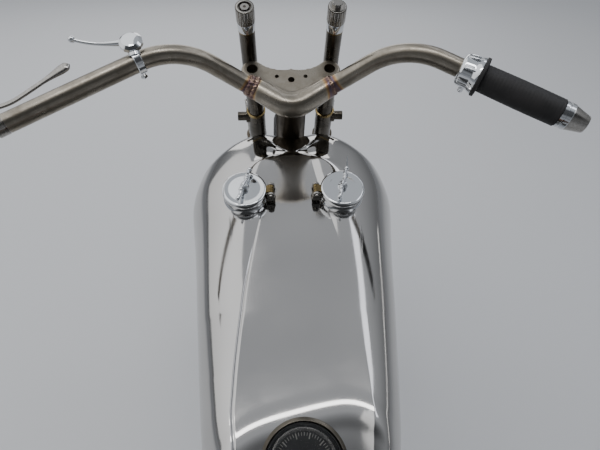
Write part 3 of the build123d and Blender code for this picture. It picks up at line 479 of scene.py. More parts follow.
def polished_sheet_steel(colour):
    # Mild steel sheet beaten, filed and buffed: a near mirror with soft hand-worked waves, smudges
    # and fine scratches
    finish, tree, shader, place = started("buffed mild steel sheet", "C6C4C2", 1.0, 0.07)
    smudge = cloudy(tree, place, 14.0, 5.0, 0.6)
    cloud = cloudy(tree, place, 4.0, 2.0)
    both = add(tree, "ShaderNodeMath", {"operation": "MULTIPLY"}, {0: smudge, 1: cloud})
    rough = add(tree, "ShaderNodeMapRange",
                {"From Min": 0.18, "From Max": 0.36, "To Min": 0.055, "To Max": 0.13},
                {"Value": both.outputs[0]})
    tree.links.new(rough.outputs["Result"], shader.inputs["Roughness"])
    vary(tree, shader, tone=(cloud, colour, "B9B7B5"))
    stretch = add(tree, "ShaderNodeMapping",
                  {"Scale": (900.0, 60.0, 60.0), "Rotation": (0.0, 0.0, 0.5)}, {"Vector": place})
    scratch = cloudy(tree, stretch.outputs["Vector"], 1.0, 2.0)
    height = add(tree, "ShaderNodeMath", {"operation": "MULTIPLY_ADD", 1: 0.02},
                 {0: scratch, 2: cloudy(tree, place, 9.0, 1.0)})
    grained(tree, shader, height.outputs[0], 0.25, 0.002)
    return finish


def saddle_cowhide(colour):
    # Vegetable-tanned cowhide: brown, pebbled grain about 1.5 mm across, polished where it is sat on
    finish, tree, shader, place = started("vegetable-tanned cowhide", "5A3520", 0.0, 0.48, IOR=1.5)
    pebbles = add(tree, "ShaderNodeTexVoronoi", {"Scale": 620.0}, {"Vector": place})
    wear = cloudy(tree, place, 12.0, 5.0)
    vary(tree, shader, tone=(wear, colour, "6E4428"), gloss=(wear, 0.4, 0.58))
    grained(tree, shader, pebbles.outputs["Distance"], 0.4, 0.0006)
    return finish


def tinted_ground_steel():
    # Mild steel ground with a flap disc, then heat-tinted by welding: straw, brown and blue near the beads
    finish, tree, shader, place = started("ground and heat-tinted steel", "8A8378", 1.0, 0.36)
    blotch = cloudy(tree, place, 40.0, 6.0, 0.7)
    steel = mixed(tree, spread(tree, blotch, 0.0, 1.0), "A8A195", "7E776B")
    near = None
    for centre in WELDS:
        off = add(tree, "ShaderNodeVectorMath", {"operation": "DISTANCE", 1: tuple(centre)}, {0: place})
        away = off.outputs["Value"]
        if near is not None:
            away = add(tree, "ShaderNodeMath", {"operation": "MINIMUM"}, {0: near, 1: away}).outputs[0]
        near = away
    ragged = add(tree, "ShaderNodeMath", {"operation": "MULTIPLY_ADD", 1: 0.006, 2: -0.003}, {0: blotch})
    reach = add(tree, "ShaderNodeMath", {"operation": "ADD"}, {0: near, 1: ragged.outputs[0]})
    band = add(tree, "ShaderNodeMapRange", {"From Min": 0.0145, "From Max": 0.0215},
               {"Value": reach.outputs[0]}).outputs["Result"]
    ramp = add(tree, "ShaderNodeValToRGB", links={"Fac": band})
    stops = ramp.color_ramp.elements
    stops[0].color, stops[1].color = linear(TINTS[0][1]), linear(TINTS[-1][1])
    for place_on, code in TINTS[1:-1]:
        stops.new(place_on).color = linear(code)
    tint = add(tree, "ShaderNodeMapRange",
               {"From Min": 0.75, "From Max": 1.0, "To Min": 0.85, "To Max": 0.0}, {"Value": band})
    shade = mixed(tree, tint.outputs["Result"], steel, ramp.outputs["Color"])
    tree.links.new(shade, shader.inputs["Base Color"])
    vary(tree, shader, gloss=(blotch, 0.24, 0.38))
    grained(tree, shader, cloudy(tree, place, 520.0, 3.0), 0.1, 0.0003)
    return finish


# Heat tints by their place from a weld bead outwards
TINTS = ((0.0, "6A5254"), (0.22, "5E5268"), (0.38, "8A6448"), (0.55, "B08E60"), (0.75, "ACA18C"),
         (1.0, "A09A8E"))

# Finishes that noise alone varies; mottled says what a row holds
METAL, NONMETAL = 1.0, 0.0
MOTTLED = {
    # Bare drawn tube rubbed with emery: warm grey metal, fine marks and darker oxide patches
    "tube": dict(name="bare drawn steel tube", colour="8E867A", metallic=METAL, roughness=0.34,
                 tone=((22, 6, 0.7), "B1A99D", "877F74"), gloss=((420, 3), 0.3, 0.5),
                 grain=((420, 3), 0.3, 0.0003)),
    # Turned steel with a film of oil: dark, fairly glossy, with faint turning marks
    "dark": dict(name="oiled turned steel", colour="5A564F", metallic=METAL, roughness=0.28,
                 tone=((30, 5), "68635B", "47433C"), gloss=((30, 5), 0.2, 0.36),
                 grain=((600, 2), 0.15, 0.0002)),
    # Nickel and chromium plate over polished steel: clear cool reflections, a few soft marks
    "chrome": dict(name="decorative chrome plate", colour="DADCDE", metallic=METAL, roughness=0.04,
                   gloss=((60, 4), 0.025, 0.09), grain=((60, 4), 0.05, 0.0006)),
    # Turned steel left bright: fine tool rings, a cool grey and a soft gloss
    "turned": dict(name="bright turned steel", colour="A6A39E", metallic=METAL, roughness=0.2,
                   tone=((340, 2), "ABA8A3", "96938E"), gloss=((340, 2), 0.14, 0.3),
                   grain=((340, 2), 0.12, 0.0002)),
    # Bare frame tube wiped with oil: brown-grey steel, darker where the film has dried, low gloss
    "bareframe": dict(name="oiled bare frame steel", colour="5E564B", metallic=METAL, roughness=0.4,
                      tone=((14, 6, 0.7), "6A6155", "464037"), gloss=((14, 6, 0.7), 0.3, 0.5),
                      grain=((500, 2), 0.25, 0.0003)),
    # Sand-cast then lightly polished aluminium: pale grey, a fine pebbled skin and dull hollows
    "aluminium": dict(name="sand-cast aluminium", colour="A9A9A6", metallic=METAL, roughness=0.4,
                      tone=((16, 6, 0.65), "B2B2AF", "8F8E8A"), gloss=((16, 6, 0.65), 0.3, 0.5),
                      grain=((700, 3), 0.35, 0.0004)),
    # Cast-iron fins under heat-proof black: matte, a little rough
    "barrel": dict(name="heat-proof black on cast iron", colour="1B1B1C", metallic=NONMETAL, roughness=0.6,
                   gloss=((800, 3), 0.5, 0.72), grain=((800, 3), 0.3, 0.0003), IOR=1.5),
    # Plated rims, hubs and spokes: bright steel under a thin road film
    "wheel": dict(name="plated wheel steel", colour="B8B8B8", metallic=METAL, roughness=0.16,
                  tone=((24, 5), "C0C0C0", "9C9B98"), gloss=((24, 5), 0.1, 0.3)),
    # Moulded carbon-black rubber: matte, faintly grey where it has weathered
    "tyre": dict(name="moulded tyre rubber", colour="1C1C1B", metallic=NONMETAL, roughness=0.72,
                 tone=((20, 6), "1A1A19", "262523"), grain=((900, 2), 0.25, 0.0004), IOR=1.52),
    # Soft moulded nitrile rubber: dull black with a dusty bloom
    "grip": dict(name="moulded nitrile rubber", colour="1D1C1C", metallic=NONMETAL, roughness=0.62,
                 tone=((50, 5), "1A1919", "2A2828"), gloss=((50, 5), 0.55, 0.75),
                 grain=((50, 5), 0.2, 0.0004), IOR=1.52),
    # Weld metal left as it froze: oxide-dark, purple and blue between the ripples
    "bead": dict(name="as-laid weld metal", colour="5A5560", metallic=METAL, roughness=0.38,
                 tone=((160, 3), "A58C78", "5A4650"), gloss=((160, 3), 0.26, 0.5),
                 grain=((160, 3), 0.3, 0.0006)),
    # Turned brass, warm and slightly dulled
    "brass": dict(name="turned yellow brass", colour="8A7850", metallic=METAL, roughness=0.24,
                  tone=((90, 4), "94825A", "63563A"), gloss=((90, 4), 0.18, 0.38)),
    # Printed dial card: near-black enamel, matte
    "enamel": dict(name="matte dial enamel", colour="101112", metallic=NONMETAL, roughness=0.5,
                   gloss=((300, 3), 0.4, 0.6), IOR=1.5),
    # Off-white screen ink on the dial: flat and pale against the enamel
    "print": dict(name="off-white screen ink", colour="B9B8B0", metallic=NONMETAL, roughness=0.6,
                  tone=((200, 3), "BDBCB4", "9C9B94"), IOR=1.5),
    # Waxed linen thread: off-white, matte, faintly fuzzy
    "thread": dict(name="waxed linen thread", colour="B9A98A", metallic=NONMETAL, roughness=0.7,
                   tone=((900, 3), "C3B494", "9B8B6C"), IOR=1.46),
    # Glazed alumina porcelain: white with a clear glaze
    "ceramic": dict(name="glazed alumina porcelain", colour="E2E0D8", metallic=NONMETAL, roughness=0.14,
                    gloss=((300, 2), 0.1, 0.2), IOR=1.6),
    # Flat soda-lime glass over the dial: clear, with one clean reflection
    "glass": dict(name="flat instrument glass", colour="FFFFFF", metallic=NONMETAL, roughness=0.02,
                  gloss=((40, 3), 0.01, 0.05), IOR=1.52, Transmission_Weight=1.0),
}

FINISHES = {}
SLOT_FINISH = {
    "bare_sheet": "sheet",
    "raw_tube": "tube",
    "frame_paint": "bareframe",
    "dark_steel": "dark",
    "chrome_trim": "chrome",
    "turned_aluminium": "aluminium",
    "black_barrels": "barrel",
    "wheel_steel": "wheel",
    "tread_rubber": "tyre",
    "grip_rubber": "grip",
    "saddle_leather": "hide",
}


class MOTO_PG_machine(bpy.types.PropertyGroup):
    """Sizes and colours of the machine that a user may change; each colour has its finish's name"""
    sheet: bpy.props.FloatVectorProperty(
        name="Tank steel", description="Colour of the tank's buffed sheet", size=4, subtype="COLOR",
        default=linear("C9C7C4"))
    hide: bpy.props.FloatVectorProperty(
        name="Leather", description="Colour of the saddle's hide", size=4, subtype="COLOR",
        default=linear("4A2A18"))
    bareframe: bpy.props.FloatVectorProperty(
        name="Frame steel", description="Colour of the frame's tubes", size=4, subtype="COLOR",
        default=linear("6A6155"))
    tyre: bpy.props.FloatVectorProperty(
        name="Tyre rubber", description="Colour of both tyres", size=4, subtype="COLOR",
        default=linear("1A1A19"))
    tread_depth: bpy.props.FloatProperty(
        name="Tread depth", description="Depth of the tyres' grooves", default=0.004, min=0.0, max=0.006,
        unit="LENGTH")
    saddle_swell: bpy.props.FloatProperty(
        name="Saddle swell", description="Furthest that the leather is blown out", default=0.007,
        min=0.0, max=0.012, unit="LENGTH")


class MOTO_OT_finishes(bpy.types.Operator):
    """Make the finishes and give every node of the frame its own"""
    bl_idname = "moto.finishes"
    bl_label = "Finishes"

    def execute(self, context):
        settings = context.scene.moto_machine
        FINISHES["sheet"] = polished_sheet_steel(tuple(settings.sheet))
        FINISHES["hide"] = saddle_cowhide(tuple(settings.hide))
        FINISHES["tinted"] = tinted_ground_steel()
        for name, recipe in MOTTLED.items():
            if name in MOTO_PG_machine.__annotations__:
                noise, _, second = recipe["tone"]
                recipe = {**recipe, "tone": (noise, tuple(getattr(settings, name)), second)}
            FINISHES[name] = mottled(**recipe)
        slots = {row["node"]: row["material_slot"] for row in frame["record"]["subparts"]}
        for node, thing in NODES.items():
            thing.data.materials.clear()
            thing.data.materials.append(FINISHES[SLOT_FINISH[slots[node]]])
        return {"FINISHED"}


# Tank

def bell(values, width):
    """Values softened along their first direction by a bell-shaped average, its width in samples."""
    reach = int(4 * width) + 1
    weight = np.exp(-np.arange(-reach, reach + 1) ** 2 / (2 * width ** 2))
    padded = np.concatenate([values[:1].repeat(reach, 0), values, values[-1:].repeat(reach, 0)])
    return sum(share * padded[start:start + len(values)] for start, share in enumerate(weight / weight.sum()))


def tank_sizes(behind):
    """The rows' sizes at distances behind the tank's front: straight runs between rows,
    softened along the tank, with the ridge before the rear slope kept crisp."""
    dense = np.arange(-160.0, 760.0)
    ridge = 6
    runs = []
    for rows in (TANK_ROWS[1:ridge + 1], TANK_ROWS[ridge:]):
        first, last = rows[0], rows[-1]
        before = first + (first - rows[1]) * (first[0] + 160) / (rows[1, 0] - first[0])
        after = last + (last - rows[-2]) * (760 - last[0]) / (last[0] - rows[-2, 0])
        known = np.concatenate([[before], rows, [after]])
        run = np.stack([np.interp(dense, known[:, 0], known[:, k]) for k in range(1, 7)], -1)
        runs.append(bell(run, 24.0))
    share = eased((dense - TANK_ROWS[ridge, 0] + 22) / 44)[:, None]
    sizes = (1 - share) * runs[0] + share * runs[1]
    return np.stack([np.interp(behind, dense, sizes[:, k]) for k in range(6)], -1)


def arc_through(first, middle, last, count):
    """Points on the circle through three points, for many rows at once."""
    (ax, az), (bx, bz), (cx, cz) = first.T, middle.T, last.T
    double = 2 * (ax * (bz - cz) + bx * (cz - az) + cx * (az - bz))
    squares = [(point ** 2).sum(-1) for point in (first, middle, last)]
    x = sum(square * gap for square, gap in zip(squares, (bz - cz, cz - az, az - bz))) / double
    z = sum(square * gap for square, gap in zip(squares, (cx - bx, ax - cx, bx - ax))) / double
    angles = [np.arctan2(point[:, 1] - z, point[:, 0] - x) for point in (first, middle, last)]
    steps = [(angles[k + 1] - angles[k] + np.pi) % (2 * np.pi) - np.pi for k in (0, 1)]
    turn = angles[0][:, None] + (steps[0] + steps[1])[:, None] * np.linspace(0, 1, count)
    radius = np.hypot(ax - x, az - z)[:, None]
    return np.stack([x[:, None] + radius * np.cos(turn), z[:, None] + radius * np.sin(turn)], -1)


def eased(share):
    """A share of 0 to 1 with a level start and end."""
    share = np.clip(share, 0, 1)
    return share * share * (3 - 2 * share)


def pressed(x, behind):
    """Depth pressed into the top of the nose. Two fine ridges run in from the front corners and
    two broad ones run out again behind them; all four meet in the middle. Between each pair the
    metal is hollowed, and in front of the fine ridges it falls to the lip."""
    out = np.sqrt((x / NOSE_HALF) ** 2 + 0.02)
    fine = NOSE_CROSS - (NOSE_CROSS - 14) * out ** 1.35
    broad = NOSE_CROSS + 16 * out ** 1.3
    share = np.clip((behind - fine) / (broad - fine), 0, 1)
    hollow = 4.0 * eased(out * 1.4) * eased(4 * share * (1 - share))
    fall = 7.0 * np.clip((fine - behind) / NOSE_CROSS, 0, 1) ** 1.15
    climb = np.clip(behind / broad, 0, 2)
    flare = np.clip((NOSE_FLARE - behind) / (NOSE_FLARE - broad), 0, 2) ** 2.1
    crest = -NOSE_CREST / 16 * np.log(np.exp(-16 * climb) + np.exp(-16 * flare))
    return (hollow + fall) * eased((NOSE_HALF + 18 - np.abs(x)) / 22) - crest * eased((92 - np.abs(x)) / 64)


def between(start, end, share):
    """Points a share of the way from rows of starts to rows of ends."""
    return start[:, None] + (end - start)[:, None] * share


def tank_shell():
    """Tank skin: each cross-section is a flat panel, a shoulder arc, a flank arc, a flat underside
    and the backbone's tunnel. Nose and tail draw in along a quarter ellipse, the nose is pressed
    in, and the ridge before the rear slope lies a little askew, as it was beaten."""
    length, nose, tail = 600.0, 46.0, 16.0
    turn = np.linspace(0, np.pi / 2, 14)
    behind = np.concatenate([nose * (1 - np.cos(turn))[:10], np.arange(30, 90, 1.5),
                             np.arange(90, length - tail, 3.0), length - tail * (1 - np.sin(turn))])
    top, panel, side, side_z, low, low_half = tank_sizes(behind).T
    # More points near the panel's edge, where the crease lies
    flat = (1 - (1 - np.linspace(0, 1, 41)) ** 1.8)[None, :, None]
    plain = np.linspace(0, 1, 6)[None, :, None]
    centre_top = np.stack([0 * top, top], -1)
    panel_edge = np.stack([panel, top], -1)
    shoulder = np.stack([panel + 0.74 * (side - panel), top - 0.25 * (top - side_z)], -1)
    widest = np.stack([side, side_z], -1)
    flank = np.stack([0.47 * side + 0.53 * low_half + 7, 0.5 * (side_z + low)], -1)
    foot = np.stack([low_half, low], -1)
    roof = BACKBONE_Z - BACKBONE_FALL * (behind + TANK_FRONT - BACKBONE_Y) + TUNNEL_RISE
    tunnel_foot = np.stack([0 * top + TUNNEL_HALF, low], -1)
    tunnel_top = np.stack([0 * top + TUNNEL_HALF, roof], -1)
    middle = np.stack([0 * top, roof], -1)
    upper = np.concatenate([between(centre_top, panel_edge, flat),
                            arc_through(panel_edge, shoulder, widest, 50)[:, 1:]], 1)
    lower = np.concatenate([arc_through(widest, flank, foot, 22)[:, 1:],
                            between(foot, tunnel_foot, plain)[:, 1:],
                            between(tunnel_foot, tunnel_top, plain)[:, 1:],
                            between(tunnel_top, middle, plain)[:, 1:]], 1)
    half = np.concatenate([upper, lower], 1)
    mirrored = half[:, -2:0:-1] * np.array([-1.0, 1.0])
    ring = np.concatenate([half, mirrored], 1)
    count = ring.shape[1]
    wide = np.concatenate([ring, ring, ring], 1).transpose(1, 0, 2)
    ring = bell(wide, 1.5)[count:2 * count].transpose(1, 0, 2)
    # How far each section is drawn in: 1 in the middle, less towards the nose and the tail
    draw = np.sqrt(np.clip(1 - np.clip(1 - behind / nose, 0, 1) ** 2, 0, 1))
    close = np.sqrt(np.clip(1 - np.clip((behind - length + tail) / tail, 0, 1) ** 2, 0, 1))
    across = 1 - 0.26 * (1 - draw) - 0.10 * (1 - close)
    down = 1 - 0.07 * (1 - draw) - 0.22 * (1 - close)
    level = np.interp(behind, (0, length), (790, 722))
    x = ring[:, :, 0] * across[:, None]
    z = level[:, None] + (ring[:, :, 1] - level[:, None]) * down[:, None]
    upward = np.clip((z - level[:, None]) / (top - level)[:, None], 0, 1) ** 3
    z = z - pressed(x, behind[:, None]) * upward
    back = RIDGE_SKEW * x + 14 * np.log1p(np.exp((-60 - x) / 12)) + 10 * np.log1p(np.exp((x - 62) / 12))
    skewed = np.interp(behind[:, None] - back, behind, top) - top[:, None]
    z = z + skewed * upward * np.clip((behind[:, None] - 330) / 80, 0, 1)
    crease = eased((behind - 150) / 200) * eased((545 - behind) / 30)
    # A groove 1.2 mm deep along the left panel's edge
    z = z - 1.2 * np.exp(-((x - panel[:, None] + 3.0) / 1.2) ** 2) * upward * crease[:, None]
    y = behind[:, None] + 0 * x
    grid = np.stack([x, y + TANK_FRONT, z], -1) * MM
    return grid, upper.shape[1], half.shape[1]


def end_wall(ring, upper_count, half_count):
    """End wall: straight lines from the section's upper half to its lower half, on both sides."""
    upper = ring[:upper_count]
    lower = ring[upper_count - 1:half_count][::-1]
    share = np.linspace(0, 1, len(upper))
    place = np.linspace(0, 1, len(lower))
    lower = np.stack([np.interp(share, place, lower[:, k]) for k in range(3)], -1)
    side = np.linspace(upper, lower, 5)
    return gather(skin(side), skin(side * np.array([-1.0, 1.0, 1.0])))


class MOTO_OT_tank(bpy.types.Operator):
    """Skin the fuel tank"""
    bl_idname = "moto.tank"
    bl_label = "Fuel tank"

    def execute(self, context):
        grid, upper_count, half_count = tank_shell()
        points, faces = skin(grid, wrap_columns=True)
        centre = points[faces].mean(1)
        off = centre - DIAL
        across = off - (off @ DIAL_AXIS)[:, None] * DIAL_AXIS
        cut = (np.linalg.norm(across, axis=1) < 42.0 * MM) & (off @ DIAL_AXIS > -0.02)
        shell = gather((points, faces[~cut]), end_wall(grid[0], upper_count, half_count),
                       end_wall(grid[-1], upper_count, half_count))
        piece("tank_skin", shell, "sheet", "frame", ["fuel_tank"], sharp=50.0)
        return {"FINISHED"}


# Fork's top plate, welds and posts

WELDS = [at_fork(side * WELD_OUT, -13.0, 3.6) for side in (1, -1)]
FORK_UP = np.array([0.0, sin(RAKE), cos(RAKE)])


def bar_path(step=2.0):
    """The bar's middle line, from its left end to its right end, in metres."""
    points = np.concatenate([BAR_POINTS, BAR_POINTS[-2::-1] * (-1, 1, 1)])
    return in_fork(rounded_path(points, BAR_BENDS, step))


def on_plate(side, place):
    """Point of the fork's plate, side being 1 on the left and -1 on the right."""
    return at_fork(side * place[0], place[1], 0.0)


def arc(centre, radius, start, end, count=24):
    """Points on an arc, its angles in degrees."""
    angle = np.radians(np.linspace(start, end, count))
    return np.asarray(centre) + radius * np.stack([np.cos(angle), np.sin(angle)], -1)


def plate_outline():
    """Top plate from above, x and ahead: a lobe over the stem and two leg ears, joined by
    hollow arcs that touch both, then straight edges back to the vee."""
    lobe, ear, hollow = 20.0, 16.0, 50.0
    ear_at = np.array(LEG_AT)
    apart = np.linalg.norm(ear_at)
    to_lobe, to_ear = lobe + hollow, ear + hollow
    along = (to_lobe ** 2 - to_ear ** 2 + apart ** 2) / (2 * apart)
    aside = np.sqrt(to_lobe ** 2 - along ** 2)
    toward = ear_at / apart
    centre = along * toward + aside * np.array([-toward[1], toward[0]])
    to_lobe_angle = np.degrees(np.arctan2(centre[1], centre[0]))
    out = centre - ear_at
    to_ear_angle = np.degrees(np.arctan2(out[1], out[0]))
    half = np.concatenate([
        arc((0, 0), lobe, 90, to_lobe_angle, 12),
        arc(centre, hollow, to_lobe_angle - 180, to_ear_angle - 180, 14)[1:-1],
        arc(ear_at, ear, to_ear_angle, -52, 24),
        [(62.0, -8.0), (30.0, -30.0), (0.0, -46.0)]])
    mirrored = half[-2:0:-1] * (-1, 1)
    return np.concatenate([half, mirrored])


def weld_shells():
    """Ripples of weld metal round the bar where its arms meet the thicker vee: overlapped
    beads, each a rise in a ring's radius."""
    shells = []
    path = bar_path(1.0)
    for side in (1, -1):
        for shift, size in WELD_ROWS[side]:
            number = int(np.argmin(np.abs(path[:, 0] - side * (WELD_OUT + shift) * MM)))
            middle = path[number]
            axis, across, above = framed(path[number + 1] - path[number - 1])
            turn = circuit(132)
            swell = 0.8 + 0.2 * np.abs(np.sin(turn * 9 + shift)) + 0.06 * np.sin(turn * 5 + 2 * shift)
            skew = 0.5 * np.cos(turn * 18 + shift) * MM + 0.7 * np.sin(turn * 3 + shift) * MM
            ring = rays(turn, across, above)
            round_bead = circuit(12)
            wide = np.cos(round_bead)[None, :, None] * size * swell[:, None, None] * MM
            tall = np.sin(round_bead)[None, :, None] * 0.55 * size * swell[:, None, None] * MM
            radius = 13.2 if shift > 0 else 14.6
            grid = middle + ring[:, None] * (radius * MM + tall) + axis * (wide + skew[:, None, None])
            shells.append(skin(grid, wrap_rows=True, wrap_columns=True))
    return gather(*shells)


def top_plate():
    """Plate and vee tube grown into one skin, softened where they meet, then drilled."""
    end = BAR_POINTS[2] * (WELD_OUT / BAR_POINTS[2, 0], 1, 1)
    vee = in_fork(rounded_path([end, (0.0, -47.0, -3.0), end * (-1, 1, 1)], (30.0,), 2.0))
    shell = gather(slab(plate_outline(), -6.0, 6.0, in_fork, 1.0),
                   tube(vee, 15.0 + 1.8 * np.sin(np.linspace(0, np.pi, len(vee))), 40))
    plate = piece("top_plate_and_vee", shell, "tinted", "fork", ["fork_top_plate"])
    shaped(plate, "REMESH", mode="VOXEL", voxel_size=1.3 * MM)
    places = vertices(plate)
    off = np.min(np.linalg.norm(places[:, None] - vee[None, ::2], axis=2), axis=1) / MM
    up = (places - PLATE) @ FORK_UP / MM
    near = np.clip(1 - np.abs(off - 17.5) / 9, 0, 1) * (np.abs(up) < 14)
    group = weighted(plate, np.maximum(near, 0.12))
    shaped(plate, "SMOOTH", factor=0.5, iterations=60, vertex_group=group)
    holes = []
    out, ear_ahead = LEG_AT
    for x, ahead, radius in ((out, ear_ahead, LEG_HOLE), (-out, ear_ahead, LEG_HOLE), *STEM_HOLES):
        middle = at_fork(x, ahead, -14)
        holes.append(turned([(0, 0), (0, radius), (28, radius), (28, 0)], middle, FORK_UP, 40))
    drills = solid("drills", gather(*holes))
    shaped(plate, "BOOLEAN", operation="DIFFERENCE", object=drills, solver="EXACT")
    bpy.data.objects.remove(drills)
    plate.data.polygons.foreach_set("use_smooth", [True] * len(plate.data.polygons))
    plate.data.set_sharp_from_angle(angle=radians(38.0))
    return plate


def post_parts(side):
    """Trim of one spring post: knurled cap, bright ring and a thin brass seat below it."""
    foot = on_plate(side, POST_AT)
    turn = circuit(144)
    axis, across, above = framed(FORK_UP)
    flute = 12.75 + 0.22 * np.cos(turn * 24)
    rows = [(69.2, 0.93), (70.0, 1.0), (91.6, 1.0), (92.8, 0.955), (93.1, 0.90), (93.1, 0.74), (92.4, 0.715),
            (87.6, 0.71), (87.2, 0.02)]
    grid = np.stack([foot + axis * up * MM + rays(turn, across, above)
                     * (12.75 * share + (flute - 12.75)[:, None] * (1 if 69.5 < up < 92 else 0)) * MM
                     for up, share in rows])
    cap = skin(grid, wrap_columns=True)
    ring = turned([(54.6, 11.5), (55.0, 12.15), (56.0, 12.3), (67.6, 12.3), (68.8, 11.9), (69.4, 11.5)], foot,
                  FORK_UP, 64, loop=True)
    brass = turned([(52.9, 11.5), (53.0, 12.1), (54.4, 12.1), (54.6, 11.5)], foot, FORK_UP, 64, loop=True)
    return cap, ring, brass


def leg_rings():
    """Brass rings at the foot of each leg's slim top."""
    shells = []
    for side in (1, -1):
        foot = on_plate(side, LEG_AT)
        shells.append(turned([(-97.0, 14.5), (-96.6, 15.5), (-92.6, 15.5), (-92.0, 13.4)], foot, FORK_UP, 64,
                             loop=True))
    return gather(*shells)


def hexagon(across_flats, low, high, centre, axis, hollow=0.0):
    """Six-sided head with broken corners, sizes in millimetres."""
    corner = across_flats / 2 / cos(radians(30))
    turn = circuit(36)
    flat = np.cos(np.pi / 6) / np.cos((turn % (np.pi / 3)) - np.pi / 6)
    axis, across, above = framed(axis)
    ring = rays(turn, across, above)
    tall = high - low
    rows = [(low, np.zeros(36)), (low, corner * flat), (high - 0.12 * tall, corner * flat),
            (high, np.minimum(corner * flat, 0.5 * across_flats) * 0.97), (high, np.full(36, hollow))]
    if hollow:
        rows += [(high - 0.5 * tall, np.full(36, hollow)), (high - 0.5 * tall, np.zeros(36))]
    grid = np.stack([np.asarray(centre) + axis * up * MM + ring * radius[:, None] * MM
                     for up, radius in rows])
    return skin(grid, wrap_columns=True)


class MOTO_OT_fork(bpy.types.Operator):
    """Make the top plate with its vee and welds, and the trim of the legs and posts"""
    bl_idname = "moto.fork"
    bl_label = "Fork"

    def execute(self, context):
        top_plate()
        piece("weld_beads", weld_shells(), "bead", "fork", sharp=70.0)
        caps, rings, seats = zip(*[post_parts(side) for side in (1, -1)])
        piece("post_caps", gather(*caps), "turned", "fork", sharp=30.0)
        piece("post_rings", gather(*rings), "chrome", "fork")
        piece("brass_rings", gather(*seats, leg_rings()), "brass", "fork")
        foot = on_plate(-1, POST_AT)
        washer = turned([(92.6, 3.0), (92.6, 10.4), (93.0, 10.8), (94.2, 10.8), (94.5, 10.4), (94.5, 3.0)],
                        foot, FORK_UP, 48, loop=True)
        piece("right_post_bolt", gather(washer, hexagon(13.0, 94.4, 100.5, foot, FORK_UP)), "turned", "fork",
              sharp=30.0)
        foot = on_plate(1, POST_AT)
        piece("left_post_bolt", hexagon(12.0, 86.5, 93.0, foot, FORK_UP, 2.2), "turned", "fork",
              sharp=30.0)
        return {"FINISHED"}


# Handlebar and its controls

def along_bar(x, side=1):
    """Point on the bar's outer straight, in metres."""
    share = (x - BAR_POINTS[1, 0]) / (BAR_POINTS[0, 0] - BAR_POINTS[1, 0])
    point = BAR_POINTS[1] + share * (BAR_POINTS[0] - BAR_POINTS[1])
    return at_fork(side * x, point[1], point[2])


def sleeve(profile, side):
    """A turned profile on the bar, its first column being the width from the middle."""
    start = along_bar(BAR_POINTS[1, 0], side)
    axis = unit(along_bar(BAR_POINTS[0, 0], side) - start)
    stretch = np.linalg.norm(BAR_POINTS[0] - BAR_POINTS[1]) / (BAR_POINTS[0, 0] - BAR_POINTS[1, 0])
    profile = np.array(profile, float)
    profile[:, 0] = (profile[:, 0] - BAR_POINTS[1, 0]) * stretch
    return turned(profile, start, axis, 72, loop=profile[-1, 1] > 0)


def grip_profile():
    """Grip with a soft inner shoulder, a barely swelled middle and fine rings round it."""
    x = np.linspace(249.3, 340.8, 180)
    share = (x - x[0]) / (x[-1] - x[0])
    radius = 18.2 + 0.5 * np.sin(np.pi * share) - 0.12 * (np.sin(share * np.pi * 46) > 0.55)
    radius[0], radius[-1] = 17.2, 17.0
    middle = np.column_stack([x, radius])
    return np.concatenate([[(249.3, 12.8)], middle, [(340.8, 12.8)]])


def clamp_block():
    """Throttle housing: a barrel flattened on top and bottom, its halves split by a groove."""
    start = along_bar(222.0, -1)
    axis = unit(along_bar(245.0, -1) - start)
    length = np.linalg.norm(along_bar(245.0, -1) - start) / MM
    axis, across, above = framed(axis, FORK_UP)
    turn = circuit(144)
    square = (np.abs(np.cos(turn)) ** 3.2 + np.abs(np.sin(turn)) ** 3.2) ** (-1 / 3.2)
    split = np.exp(-(np.sin(turn) / 0.05) ** 2)
    rows = [(0.0, 12.9, 0), (0.3, 17.4, 1), (2.5, 20.0, 1), (5.0, 20.8, 1), (length * 0.62, 21.0, 1),
            (length * 0.72, 21.6, 1), (length * 0.84, 23.6, 0), (length - 0.8, 24.4, 0), (length, 23.6, 0),
            (length, 12.9, 0)]
    grid = []
    for along, radius, form in rows:
        reach = radius * (1 + form * 0.10 * (square - 1)) - form * 0.8 * split
        grid.append(start + axis * along * MM + rays(turn, across, above) * reach[:, None] * MM)
    return skin(np.stack(grid), wrap_columns=True), start, axis, across, above


